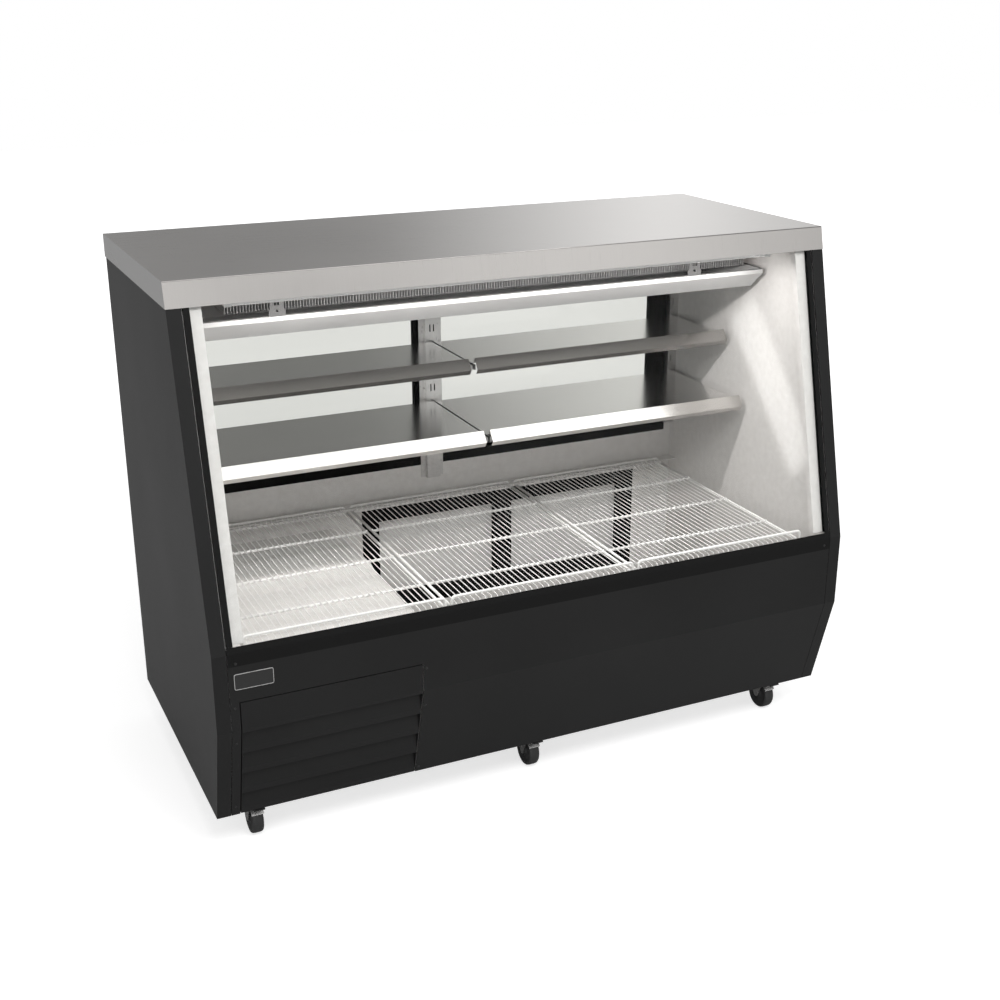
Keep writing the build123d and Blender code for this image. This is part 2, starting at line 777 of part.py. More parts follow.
def wire_rack(left):
    """A rack: wires over a rim and cross rods, with their front ends turned down before the rim."""
    net_bottom = rack_top - rack_wire
    middle_x = left + rack_width / 2
    rim_front = rack_front + rack_wire
    rim_length = rack_back - rim_front
    wire_pitch = (rack_width - rack_wire) / (rack_wires - 1)
    with BuildPart() as rack:
        with BuildSketch(Plane.XY.offset(net_bottom)):
            with Locations((middle_x, (rim_front + rack_back) / 2)):
                RectangleRounded(rack_width, rim_length, rack_corner)
                Rectangle(rack_width - 2 * rack_rod, rim_length - 2 * rack_rod, mode=Mode.SUBTRACT)
            for rod_y in rack_rods:
                with Locations((middle_x, rod_y)):
                    Rectangle(rack_width - rack_rod, rack_rod)
        extrude(amount=-rack_rod)
        with BuildSketch(Plane.XY.offset(net_bottom)):
            with Locations((middle_x, (rack_front + rack_back - rack_corner) / 2)):
                with GridLocations(wire_pitch, 1, rack_wires, 1):
                    Rectangle(rack_wire, rack_back - rack_corner - rack_front)
        extrude(amount=rack_wire)
        with BuildSketch(Plane.XY.offset(net_bottom)):
            with Locations((middle_x, rack_front + rack_wire / 2)):
                with GridLocations(wire_pitch, 1, rack_wires, 1):
                    Rectangle(rack_wire, rack_wire)
        extrude(amount=-rack_drop)
    return rack.part


rack_step = rack_width + rack_gap
for name, index in (("left_rack", -1), ("middle_rack", 0), ("right_rack", 1)):
    with BuildPart() as rack:
        add(wire_rack(index * rack_step - rack_width / 2))
    save(rack, name)

# Shelves: a plate with a raised, rolled front nose, on arms that hook into the pilasters
for level, height, nose_y in (("lower", shelf_heights[0], shelf_noses[0]), ("upper", shelf_heights[1], shelf_noses[1])):
    fold = [(shelf_back, height), (nose_y + nose_rise / 2, height), (nose_y, height + nose_rise),
            (nose_y - nose_forward, height + nose_rise - nose_fall),
            (nose_y - nose_forward + nose_lip_back, height + nose_rise - nose_fall - nose_lip_fall)]
    for side, start in (("left", -shelf_half), ("right", shelf_seam / 2)):
        end_cut = (-nose_end_gap, 0) if side == "left" else (0, nose_end_gap)
        with BuildPart() as shelf:
            add(folded_sheet(fold, shelf_sheet, Side.LEFT, start, shelf_half - shelf_seam / 2))
            add(block(end_cut, (nose_y - 2 * nose_forward, nose_y + nose_rise / 2),
                      (height - nose_fall - nose_lip_fall, height + 2 * nose_rise)), mode=Mode.SUBTRACT)
        save(shelf, f"{level}_{side}_shelf")

arm_lines = (-bracket_end_x, -slot_spacing / 2, slot_spacing / 2, bracket_end_x)
pilaster_y = rear_inner_y - pilaster_proud + pilaster_sheet
pilaster_front = pilaster_y - pilaster_sheet
end_pilaster_half = inner_half - pilaster_end_width


# Pilasters: a hat section in the middle and a channel in each rear corner
with BuildPart() as pilasters:
    half_face = pilaster_face / 2
    half_flange = pilaster_flange / 2
    with BuildSketch(Plane.XY.offset(pilaster_bottom)):
        with BuildLine():
            Polyline((-half_flange, rear_inner_y), (-half_face, rear_inner_y), (-half_face, pilaster_y),
                     (half_face, pilaster_y), (half_face, rear_inner_y), (half_flange, rear_inner_y),
                     (half_flange, rear_inner_y - pilaster_sheet),
                     (half_face + pilaster_sheet, rear_inner_y - pilaster_sheet),
                     (half_face + pilaster_sheet, pilaster_y - pilaster_sheet),
                     (-half_face - pilaster_sheet, pilaster_y - pilaster_sheet),
                     (-half_face - pilaster_sheet, rear_inner_y - pilaster_sheet),
                     (-half_flange, rear_inner_y - pilaster_sheet), close=True)
        make_face()
    extrude(amount=pilaster_top - pilaster_bottom)
    for side in (-1, 1):
        corner = sorted((side * end_pilaster_half, side * inner_half))
        inner_leg = sorted((side * end_pilaster_half, side * (end_pilaster_half + pilaster_sheet)))
        add(block(corner, (pilaster_y - pilaster_sheet, pilaster_y), (end_pilaster_bottom, pilaster_top)))
        add(block(inner_leg, (pilaster_y - pilaster_sheet, rear_inner_y), (end_pilaster_bottom, pilaster_top)))
    with BuildSketch(Plane.XZ.offset(-pilaster_y)):
        for x in arm_lines:
            with Locations((x, lowest_slot + (slot_count - 1) * slot_pitch / 2)):
                with GridLocations(1, slot_pitch, 1, slot_count):
                    Rectangle(slot_width, slot_height)
    extrude(amount=pilaster_sheet * 2, both=True, mode=Mode.SUBTRACT)
save(pilasters, "pilasters")

# Shelf brackets: tapering arms, hooked into the slots, that run forward under the plates
with BuildPart() as shelf_brackets:
    for height, nose_y in zip(shelf_heights, shelf_noses):
        arm_top = height - shelf_sheet
        hook_bottom = height - shelf_rise - slot_height / 2 + stacking_gap
        for x in arm_lines:
            reach = nose_y - nose_rise if abs(x) < nose_end_gap else nose_y + nose_rise
            arm = [(reach, arm_top), (reach, arm_top - bracket_toe), (pilaster_front, arm_top - bracket_heel),
                   (pilaster_front, hook_bottom), (pilaster_front + hook_depth, hook_bottom),
                   (pilaster_front + hook_depth, hook_bottom + hook_height),
                   (pilaster_front, hook_bottom + hook_height), (pilaster_front, arm_top)]
            add(run_along_x(arm, x - bracket_sheet / 2, bracket_sheet))
save(shelf_brackets, "shelf_brackets")

# Evaporator: a comb of fins on its tube block, hung from the top deck by two end plates
core_front = fin_front + fin_tooth
fin_count = int((fin_right - fin_left) / fin_pitch) + 1
with BuildPart() as evaporator_fins:
    add(block((fin_left, fin_right), (core_front, fin_back), (fin_bottom, fin_top)))
    with BuildSketch(Plane.XY.offset(fin_bottom)):
        with Locations(((fin_left + fin_right) / 2, fin_front + fin_tooth / 2)):
            with GridLocations(fin_pitch, 1, fin_count, 1):
                Rectangle(fin_sheet, fin_tooth)
    extrude(amount=fin_top - fin_bottom)
    for start in (fin_left - end_plate, fin_right):
        add(block((start, start + end_plate), (fin_front, fin_back), (fin_bottom, deck_under)))
save(evaporator_fins, "evaporator_fins")


def pipe(points, radius):
    """A line with mitred corners along these points; its eight flats keep so thin a part light."""
    heading = Vector(*points[1]) - Vector(*points[0])
    with BuildPart() as tube:
        with BuildLine() as route:
            Polyline(*points)
        with BuildSketch(Plane(origin=points[0], z_dir=heading)):
            RegularPolygon(radius, 8)
        sweep(path=route.line, transition=Transition.RIGHT)
    return tube.part


# Return bends of the evaporator's tubes, which stand out of both end plates
with BuildPart() as return_bends:
    for face_x, outward in ((fin_left - end_plate, -1), (fin_right + end_plate, 1)):
        rows = tube_rows if outward > 0 else tube_rows[1:]
        stub_x = face_x + outward * tube_stub
        for tube_z in tube_levels:
            for near, far in zip(rows[::2], rows[1::2]):
                bulge = (far - near) / 2
                bend_x = stub_x + outward * bulge
                add(pipe([(face_x, near, tube_z), (stub_x, near, tube_z), (bend_x, near + bulge / 2, tube_z),
                          (bend_x, far - bulge / 2, tube_z), (stub_x, far, tube_z), (face_x, far, tube_z)],
                         tube_radius))

# Drip pan: a folded tray with capped ends, held by tabs that reach up to the top deck
pan_fold = [(pan_lip_y, pan_lip_top), (pan_lip_y, pan_lip_top - pan_lip_face), (pan_belly_y, pan_bottom),
            (pan_back, pan_bottom), (pan_back, pan_lip_top)]
with BuildPart() as drip_pan:
    add(folded_sheet(pan_fold, pan_skin, Side.LEFT, -pan_half, 2 * pan_half))
    for start in (-pan_half, pan_half - pan_skin):
        add(run_along_x(pan_fold, start, pan_skin))
    with BuildSketch(Plane.XZ.offset(-pan_lip_y)):
        for side in (-1, 1):
            with Locations((side * hanger_x, (hanger_bottom + hanger_shoulder) / 2)):
                Rectangle(hanger_width, hanger_shoulder - hanger_bottom)
            with Locations((side * hanger_x, (hanger_shoulder + deck_under) / 2)):
                Rectangle(hanger_neck, deck_under - hanger_shoulder)
            with Locations((side * hanger_x, hanger_slot_z)):
                Rectangle(hanger_slot, 2 * hanger_hole, mode=Mode.SUBTRACT)
            with Locations((side * hanger_x, hanger_hole_z)):
                Circle(hanger_hole, mode=Mode.SUBTRACT)
    extrude(amount=pan_skin)
    for side in (-1, 1):
        add(block((side * hanger_x - hanger_neck / 2, side * hanger_x + hanger_neck / 2),
                  (pan_back, pan_back + pan_skin), (hanger_bottom, deck_under)))
save(drip_pan, "drip_pan")

# Lamp: a base under the top deck, two sockets and the tube between them
with BuildPart() as lamp:
    base_bottom = deck_under - lamp_base_height
    add(block((-lamp_half, lamp_half), (lamp_y - lamp_base_width / 2, lamp_y + lamp_base_width / 2),
              (base_bottom, deck_under)))
    for start in (-lamp_half, lamp_half - lamp_socket):
        add(block((start, start + lamp_socket), (lamp_y - lamp_radius, lamp_y + lamp_radius),
                  (deck_under - lamp_drop - lamp_radius, base_bottom)))
    with BuildSketch(Plane.YZ.offset(-lamp_half + lamp_socket)):
        with Locations((lamp_y, deck_under - lamp_drop)):
            Circle(lamp_radius)
    extrude(amount=2 * (lamp_half - lamp_socket))
save(lamp, "lamp")

# Condenser: a finned block on feet behind the louvres, with the shroud that ducts its fan
condenser_low = pan_top + condenser_foot
fan_z = condenser_low + condenser_height / 2
shroud_front = condenser_front + condenser_thickness
shroud_back = shroud_front + shroud_depth
with BuildPart() as condenser:
    x_range = (condenser_x - condenser_width / 2, condenser_x + condenser_width / 2)
    add(block(x_range, (condenser_front, shroud_front), (condenser_low, condenser_low + condenser_height)))
    for foot_x in (x_range[0], x_range[1] - motor_arm):
        add(block((foot_x, foot_x + motor_arm), (condenser_front, shroud_front), (pan_top, condenser_low)))
    add(block(x_range, (shroud_front, shroud_back), (condenser_low, condenser_low + condenser_height)))
    add(block((x_range[0] + shroud_sheet, x_range[1] - shroud_sheet), (shroud_front, shroud_back - shroud_sheet),
              (condenser_low + shroud_sheet, condenser_low + condenser_height - shroud_sheet)), mode=Mode.SUBTRACT)
    with BuildSketch(Plane.XZ.offset(-shroud_back)):
        with Locations((condenser_x, fan_z)):
            Circle(fan_radius + fan_tip_gap)
    extrude(amount=shroud_sheet, mode=Mode.SUBTRACT)
save(condenser, "condenser")

# Fan motor: a round motor on three arms that reach the shroud
motor_front = shroud_back + motor_stand_off
arm_reach = fan_radius + fan_tip_gap + motor_arm
with BuildPart() as fan_motor:
    with BuildSketch(Plane.XZ.offset(-motor_front - motor_length)):
        with Locations((condenser_x, fan_z)):
            Circle(motor_radius)
    extrude(amount=motor_length)
    with BuildSketch(Plane.XZ.offset(-motor_front)):
        with Locations((condenser_x, fan_z)):
            Circle(motor_shaft)
    extrude(amount=motor_front - shroud_front - shroud_depth / 2)
    for angle in (90, 210, 330):
        with BuildSketch(Plane.XZ.offset(-motor_front - shroud_sheet)):
            with Locations((condenser_x, fan_z)):
                with PolarLocations(0, 1, start_angle=angle):
                    with Locations((arm_reach / 2, 0)):
                        Rectangle(arm_reach, motor_arm)
        extrude(amount=shroud_sheet)
        with BuildSketch(Plane.XZ.offset(-motor_front)):
            with Locations((condenser_x, fan_z)):
                with PolarLocations(arm_reach - motor_arm / 4, 1, start_angle=angle):
                    Rectangle(motor_arm / 2, motor_arm)
        extrude(amount=motor_stand_off)
save(fan_motor, "fan_motor")

# Fan blade: a hub on the motor's shaft with four pitched blades
blade_y = shroud_back - shroud_depth / 2
with BuildPart() as fan_blade:
    with BuildSketch(Plane.XZ.offset(-blade_y - fan_hub_length / 2)):
        with Locations((condenser_x, fan_z)):
            Circle(fan_hub)
    extrude(amount=fan_hub_length)
    for index in range(fan_blades):
        pitched = Pos(condenser_x, blade_y, fan_z) * Rot(0, 360 / fan_blades * index, 0) * Rot(blade_pitch, 0, 0)
        add(pitched * Pos((fan_hub - blade_root + fan_radius) / 2, 0, 0)
            * Box(fan_radius - fan_hub + blade_root, blade_sheet, blade_width, mode=Mode.PRIVATE))
    with BuildSketch(Plane.XZ.offset(-blade_y - blade_width)):
        with Locations((condenser_x, fan_z)):
            Circle(fan_radius)
    extrude(amount=2 * blade_width, mode=Mode.INTERSECT)
    with BuildSketch(Plane.XZ.offset(-blade_y - blade_width)):
        with Locations((condenser_x, fan_z)):
            Circle(motor_shaft + running_clearance)
    extrude(amount=2 * blade_width, mode=Mode.SUBTRACT)
save(fan_blade, "fan_blade")

# Compressor: a steel shell with a bevelled dome and a weld rim, on a plate with four rubber feet
plate_z = pan_top + compressor_foot_height
shell_z = plate_z + compressor_plate
with BuildPart() as compressor:
    with BuildSketch(Plane.XY.offset(shell_z)):
        with Locations((compressor_x, compressor_y)):
            RegularPolygon(compressor_radius, compressor_sides)
    extrude(amount=compressor_height)
    shell_top = compressor.faces().sort_by(Axis.Z)[-1]
    chamfer(shell_top.edges(), length=compressor_dome, length2=compressor_radius - compressor_crown)
    with BuildSketch(Plane.XY.offset(shell_z + weld_height)):
        with Locations((compressor_x, compressor_y)):
            RegularPolygon(compressor_radius + compressor_rim, compressor_sides)
    extrude(amount=compressor_rim)
    with BuildSketch(Plane.XY.offset(plate_z)):
        with Locations((compressor_x, compressor_y)):
            Rectangle(compressor_plate_size, compressor_plate_size)
    extrude(amount=compressor_plate)
    with BuildSketch(Plane.XY.offset(pan_top)):
        with Locations((compressor_x, compressor_y)):
            foot_pitch = compressor_plate_size - 2 * compressor_foot_inset
            with GridLocations(foot_pitch, foot_pitch, 2, 2):
                RegularPolygon(compressor_foot_radius, 8)
    extrude(amount=compressor_foot_height)
save(compressor, "compressor")

# Refrigerant lines: one to the condenser, one up to the machine deck, and the evaporator's return bends
line_z = shell_z + line_height
shell_side = compressor_x + compressor_radius + stacking_gap
hot_x = shell_side + 2 * line_bend
hot_top = condenser_low + condenser_height - motor_arm
cold_side = compressor_x - compressor_radius - stacking_gap
cold_x = cold_side - 2 * line_bend
with BuildPart() as refrigerant_lines:
    add(pipe([(shell_side, compressor_y, line_z), (hot_x - line_bend, compressor_y, line_z),
              (hot_x, compressor_y, line_z + line_bend), (hot_x, compressor_y, hot_top - line_bend),
              (hot_x, compressor_y - line_bend, hot_top), (hot_x, shroud_back, hot_top)], line_radius))
    add(pipe([(cold_side, compressor_y, line_z), (cold_x + line_bend, compressor_y, line_z),
              (cold_x, compressor_y, line_z + line_bend), (cold_x, compressor_y, deck_bottom)], line_radius))
    add(return_bends.part)
save(refrigerant_lines, "refrigerant_lines")

# Controls on the rear cover: a knob that turns in its bushing and a rocker switch for the lamp
with BuildPart() as thermostat_knob:
    with BuildSketch(Plane.XZ.offset(-back_y - stacking_gap)):
        with Locations((knob_x, knob_z)):
            Circle(knob_radius)
    extrude(amount=-knob_height)
    with BuildSketch(Plane.XZ.offset(-back_y - knob_height - stacking_gap)):
        with Locations((knob_x, knob_z)):
            Rectangle(2 * knob_radius, knob_grip)
    extrude(amount=-knob_grip_rise)
    with BuildSketch(Plane.XZ.offset(-rear_skin_y + knob_tail)):
        with Locations((knob_x, knob_z)):
            Circle(knob_stem)
    extrude(amount=-knob_tail - skin - stacking_gap)
save(thermostat_knob, "thermostat_knob")

with BuildPart() as light_switch:
    with BuildSketch(Plane.YZ.offset(switch_x - switch_width / 2)):
        with BuildLine():
            Polyline((back_y - switch_depth, knob_z - switch_length / 2), (back_y, knob_z - switch_length / 2),
                     (back_y + switch_rise, knob_z - switch_length / 2), (back_y, knob_z + switch_length / 2),
                     (back_y - switch_depth, knob_z + switch_length / 2), close=True)
        make_face()
    extrude(amount=switch_width)
    with BuildSketch(Plane.YZ.offset(switch_x)):
        with Locations((switch_pivot_y, knob_z)):
            Circle(switch_pin)
    extrude(amount=switch_hole_width / 2 + switch_wall, both=True)
save(light_switch, "light_switch")

# Castors: a bolted plate with its bearing race and kingpin, a fork that swivels on it, and a wheel
castors = [("front", castor_front_y), ("rear", castor_back_y)]
sides = [("left", -castor_x), ("middle", 0.0), ("right", castor_x)]
plate_z_low = pan_bottom_z - plate_sheet
race_bottom = plate_z_low - race_height
crown_top = race_bottom - stacking_gap
crown_bottom = crown_top - fork_sheet
pin_head_top = crown_bottom - stacking_gap
fork_inner = wheel_width / 2 + fork_gap
fork_outer = fork_inner + fork_sheet
with BuildPart() as castor_plates:
    places = [(x, y) for side_name, x in sides for row, y in castors]
    with BuildSketch(Plane.XY.offset(plate_z_low)):
        with Locations(*places):
            Rectangle(plate_size, plate_size)
    extrude(amount=plate_sheet)
    with BuildSketch(Plane.XY.offset(race_bottom)):
        with Locations(*places):
            RegularPolygon(race_radius, 16)
    extrude(amount=race_height)
    with BuildSketch(Plane.XY.offset(pin_head_top)):
        with Locations(*places):
            Circle(kingpin_radius)
    extrude(amount=race_bottom - pin_head_top)
    with BuildSketch(Plane.XY.offset(pin_head_top)):
        with Locations(*places):
            RegularPolygon(kingpin_head, 6)
    extrude(amount=-kingpin_head_height)
save(castor_plates, "castor_plates")


def cover_point(wheel_y, step, inset):
    """The (y, z) of a corner of the cover over the wheel, so many steps forward of the wheel's top."""
    angle = radians(step * cover_step)
    reach = (wheel_radius + cover_gap + inset) / cos(radians(cover_step / 2))
    return (wheel_y - reach * sin(angle), wheel_radius + reach * cos(angle))


def castor_fork(x, y, braked):
    """A fork: a crown under the race, two legs to the axle, a bent cover, and ears for a pedal if it has one."""
    wheel_y = y - wheel_trail
    with BuildPart() as fork:
        with BuildSketch(Plane.XY.offset(crown_bottom)):
            with Locations((x, y)):
                Rectangle(2 * fork_outer, crown_length)
                Circle(kingpin_radius + running_clearance, mode=Mode.SUBTRACT)
        extrude(amount=fork_sheet)
        for start in (x - fork_outer, x + fork_inner):
            with BuildSketch(Plane.YZ.offset(start)):
                with Locations((wheel_y, wheel_radius)):
                    RegularPolygon(fork_end_radius, 12)
                with Locations((y, crown_top)):
                    Rectangle(crown_length, fork_sheet, align=(Align.CENTER, Align.MAX))
                if braked:
                    with Locations((y - pedal_forward, pedal_height)):
                        RegularPolygon(pedal_barrel, 8)
                make_hull()
            extrude(amount=fork_sheet)
        under = [cover_point(wheel_y, step, 0) for step in cover_steps]
        over = [cover_point(wheel_y, step, cover_sheet) for step in cover_steps]
        add(run_along_x(under + over[::-1], x - fork_inner, 2 * fork_inner))
        pins = [(wheel_y, wheel_radius, axle_radius)]
        if braked:
            pins.append((y - pedal_forward, pedal_height, pedal_pin))
        for pin_y, pin_z, radius in pins:
            with BuildSketch(Plane.YZ.offset(x - fork_outer)):
                with Locations((pin_y, pin_z)):
                    Circle(radius)
            extrude(amount=2 * fork_outer)
    return fork.part


def castor_wheel(x, y):
    """A wheel with bevelled tread edges; its many flats stand in for the round."""
    with BuildPart() as wheel:
        with BuildSketch(Plane.YZ.offset(x - wheel_width / 2)):
            with Locations((y - wheel_trail, wheel_radius)):
                RegularPolygon(wheel_radius, wheel_sides)
        extrude(amount=wheel_width)
        rims = wheel.faces().sort_by(Axis.X)
        chamfer(rims[0].edges() + rims[-1].edges(), length=wheel_edge)
        with BuildSketch(Plane.YZ.offset(x - wheel_width / 2)):
            with Locations((y - wheel_trail, wheel_radius)):
                Circle(axle_radius + running_clearance)
        extrude(amount=wheel_width, mode=Mode.SUBTRACT)
    return wheel.part


def brake_pedal(x, y):
    """A pedal: a barrel on its pin between the fork's ears with a tread plate reaching forward."""
    pedal_y = y - pedal_forward
    with BuildPart() as pedal:
        with BuildSketch(Plane.YZ.offset(x - pedal_width / 2)):
            with Locations((pedal_y, pedal_height)):
                RegularPolygon(pedal_barrel, 8)
            with Locations((pedal_y, pedal_height + pedal_barrel)):
                Rectangle(pedal_length, pedal_sheet, align=(Align.MAX, Align.MAX))
            with Locations((pedal_y, pedal_height)):
                Circle(pedal_pin + running_clearance, mode=Mode.SUBTRACT)
        extrude(amount=pedal_width)
    return pedal.part


for row, y in castors:
    for side_name, x in sides:
        with BuildPart() as fork:
            add(castor_fork(x, y, row == "front"))
        save(fork, f"{row}_{side_name}_fork")
        with BuildPart() as wheel:
            add(castor_wheel(x, y))
        save(wheel, f"{row}_{side_name}_wheel")
        if row == "front":
            with BuildPart() as pedal:
                add(brake_pedal(x, y))
            save(pedal, f"{side_name}_brake_pedal")
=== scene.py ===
import json
from math import pi, radians
import bpy
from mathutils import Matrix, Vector
import numpy as np


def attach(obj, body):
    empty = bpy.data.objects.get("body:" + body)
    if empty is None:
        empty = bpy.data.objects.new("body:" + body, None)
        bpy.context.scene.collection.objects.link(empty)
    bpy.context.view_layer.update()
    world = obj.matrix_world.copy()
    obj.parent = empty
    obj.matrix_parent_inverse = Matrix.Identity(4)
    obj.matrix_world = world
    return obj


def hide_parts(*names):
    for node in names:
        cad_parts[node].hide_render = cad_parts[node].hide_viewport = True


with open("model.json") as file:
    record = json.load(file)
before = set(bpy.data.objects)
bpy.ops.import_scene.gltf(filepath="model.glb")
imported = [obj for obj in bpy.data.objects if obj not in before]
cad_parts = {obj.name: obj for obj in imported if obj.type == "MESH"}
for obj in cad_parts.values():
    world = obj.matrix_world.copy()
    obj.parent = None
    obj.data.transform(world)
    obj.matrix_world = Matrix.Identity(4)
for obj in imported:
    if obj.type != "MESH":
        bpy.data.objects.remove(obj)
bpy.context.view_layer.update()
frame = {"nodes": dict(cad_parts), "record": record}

# Places in metres, in the case's own frame: X along the counter, Y towards the server, Z up
CAMERA_PLACE = (-1.2868, -2.8275, 1.7279)
CAMERA_TURN = (69.76, 0.0, -25.18)
CAMERA_LENS = 50.0
CASTORS = [f"{row}_{side}" for row in ("front", "rear") for side in ("left", "middle", "right")]


class Signal:
    """A shader socket that takes part in ordinary arithmetic; each operator adds one Math node."""

    def __init__(self, nodes, socket):
        self.nodes = nodes
        self.socket = socket

    def math(self, operation, *others, clamp=False):
        settings = {"operation": operation, "use_clamp": clamp}
        return self.nodes.node("ShaderNodeMath", settings, dict(enumerate((self,) + others)))

    def __add__(self, other):
        return self.math("ADD", other)

    def __mul__(self, other):
        return self.math("MULTIPLY", other)

    def __sub__(self, other):
        return self.math("SUBTRACT", other)

    def __rsub__(self, other):
        return (self * -1) + other

    def __gt__(self, other):
        return self.math("GREATER_THAN", other)

    def __lt__(self, other):
        return self.math("LESS_THAN", other)

    def between(self, low, high):
        """Rises evenly from 0 at low to 1 at high and stays there."""
        return (self - low).math("DIVIDE", high - low, clamp=True)

    def near(self, centre, reach):
        """1 within reach of centre and 0 elsewhere."""
        return (self - centre).math("ABSOLUTE") < reach


class Nodes:
    """A node tree with one method that adds any node with its settings and sockets."""

    def __init__(self, tree):
        self.tree = tree

    def put(self, node, inputs):
        """Links or sets each input that is named."""
        for key, value in inputs.items():
            if isinstance(value, Signal):
                self.tree.links.new(value.socket, node.inputs[key])
            else:
                node.inputs[key].default_value = value

    def node(self, kind, settings=None, inputs=None, output=0):
        """Adds a node and returns one of its outputs; the setting stops fills a colour ramp."""
        node = self.tree.nodes.new(kind)
        for key, value in (settings or {}).items():
            if key == "stops":
                set_stops(node.color_ramp, value)
            else:
                setattr(node, key, value)
        self.put(node, inputs or {})
        return Signal(self, node.outputs[output])

    def blend(self, factor, first, second):
        """The first colour where factor is 0, the second where it is 1, and a mixture between."""
        return self.node("ShaderNodeMix", {"data_type": "RGBA"}, {0: factor, 6: first, 7: second}, output=2)

    def ramp(self, factor, stops):
        """The grey or colour that the stops give for this factor."""
        return self.node("ShaderNodeValToRGB", {"stops": stops}, {0: factor})


class Finish(Nodes):
    """One material: its shader and the patterns that vary it."""

    def __init__(self, name, **constants):
        self.material = bpy.data.materials.new(name)
        self.material.use_nodes = True
        super().__init__(self.material.node_tree)
        self.shader = self.tree.nodes["Principled BSDF"]
        self.output = self.tree.nodes["Material Output"]
        self.vary(**constants)

    def place(self):
        """Object coordinates, in metres in the case's frame."""
        return self.node("ShaderNodeTexCoord", output="Object")

    def axis(self, letter):
        """One of the object coordinates as a number."""
        return self.node("ShaderNodeSeparateXYZ", None, {0: self.place()}, output=letter)

    def stretched(self, scale):
        """Object coordinates scaled along each axis, which draws a pattern out along the small ones."""
        return self.node("ShaderNodeMapping", None, {"Vector": self.place(), "Scale": scale})

    def noise(self, scale, detail, vector=None, roughness=0.5):
        """Cloudy noise from about 0 to 1; scale is its spots to the metre."""
        inputs = {"Vector": vector or self.place(), "Scale": scale, "Detail": detail, "Roughness": roughness}
        return self.node("ShaderNodeTexNoise", None, inputs, output="Fac")

    def facing(self, letter):
        """The surface normal's component along one axis."""
        normal = self.node("ShaderNodeNewGeometry", output="Normal")
        return self.node("ShaderNodeSeparateXYZ", None, {0: normal}, output=letter)

    def bump(self, height, distance):
        """A normal tilted by a height from 0 to 1 that stands for this distance in metres."""
        return self.node("ShaderNodeBump", None, {"Height": height, "Distance": distance}, output="Normal")

    def vary(self, **sockets):
        """Sets the shader's sockets from signals and constants; an underscore stands for a space."""
        self.put(self.shader, {key.replace("_", " "): value for key, value in sockets.items()})
        return self


def set_stops(ramp, stops):
    """Fills a colour ramp with (position, grey or colour) stops."""
    while len(ramp.elements) < len(stops):
        ramp.elements.new(0.5)
    for element, (position, value) in zip(ramp.elements, stops):
        element.position = position
        element.color = value if isinstance(value, tuple) else (value, value, value, 1.0)


def grey(level, warmth=0.0):
    """A grey with a little red added and blue taken away by the same share."""
    return (level * (1 + warmth), level, level * (1 - warmth), 1.0)


def black_paint():
    """Baked semi-gloss black on sheet: faint orange peel and a slightly uneven sheen."""
    paint = Finish("black_paint", IOR=1.3)
    haze = paint.noise(3.0, 4.0)
    peel = paint.noise(420.0, 2.0)
    return paint.vary(Base_Color=paint.ramp(haze, [(0.3, 0.009), (0.7, 0.012)]), Roughness=haze * 0.10 + 0.34,
                      Normal=paint.bump(peel, 0.00006)).material


def dull_black(name, shine):
    """Black powder coat that hardly shines; shine is its refractive index."""
    coat = Finish(name, IOR=shine)
    peel = coat.noise(300.0, 2.0)
    return coat.vary(Base_Color=coat.ramp(peel, [(0.3, 0.004), (0.7, 0.006)]), Roughness=peel * 0.1 + 0.5,
                     Normal=coat.bump(peel, 0.00005)).material


def storage_door_paint():
    """Black skin outside and white liner on the face that looks into the case."""
    door = Finish("storage_door_paint", IOR=1.45)
    inner = door.facing("Y") < -0.9
    mottle = door.noise(14.0, 4.0)
    white = door.ramp(mottle, [(0.3, grey(0.70, 0.01)), (0.7, grey(0.76, 0.01))])
    return door.vary(Base_Color=door.blend(inner, grey(0.011), white), Roughness=mottle * 0.1 + 0.34).material


def counter_steel():
    """Brushed stainless: grain along the top and down the skirt, an uneven sheen, and a left end painted
    paler as a painted reflection.
    """
    steel = Finish("counter_steel", IOR=2.5)
    along = steel.noise(1.0, 3.0, steel.stretched((5.0, 900.0, 900.0)), 0.6)
    down = steel.noise(1.0, 3.0, steel.stretched((900.0, 5.0, 5.0)), 0.6)
    top = steel.facing("Z").between(0.8, 0.95)
    grain = along * top + down * (1 - top)
    cloud = steel.noise(2.2, 4.0)
    tone = steel.ramp(grain * 0.4 + cloud * 0.6, [(0.3, grey(0.43, 0.035)), (0.7, grey(0.50, 0.035))])
    # The left end's paler steel is a painted reflection of the bright surroundings on that side.
    lit_left_end = steel.facing("X") < -0.9
    return steel.vary(Base_Color=steel.blend(lit_left_end, tone, grey(0.68, 0.01)), Metallic=1.0,
                      Roughness=grain * 0.14 + cloud * 0.06 + 0.20,
                      Normal=steel.bump(grain, 0.00003)).material


def shelf_steel(name, nose_shade):
    """Bright-rolled shelf sheet: a soft mirror with a hairline grain; the nose is painted darker, to this
    level, as painted shade.
    """
    steel = Finish(name, IOR=2.5)
    flat = steel.facing("Z").between(0.8, 0.95)
    grain = steel.noise(1.0, 2.0, steel.stretched((14.0, 2400.0, 2400.0)), 0.5)
    cloud = steel.noise(3.0, 3.0)
    tone = steel.ramp(grain * 0.5 + cloud * 0.5, [(0.3, grey(0.86, 0.012)), (0.7, grey(0.92, 0.012))])
    # Faces that are not flat on top, the noses, get a darker grey of the given level: painted shade.
    return steel.vary(Base_Color=steel.blend(flat, grey(nose_shade, 0.03), tone),
                      Metallic=1.0, Roughness=grain * 0.04 + cloud * 0.05 + 0.17).material


# The Z of the jambs' normal, since they lean back with the glass
JAMB_NORMAL_Z = -0.2265


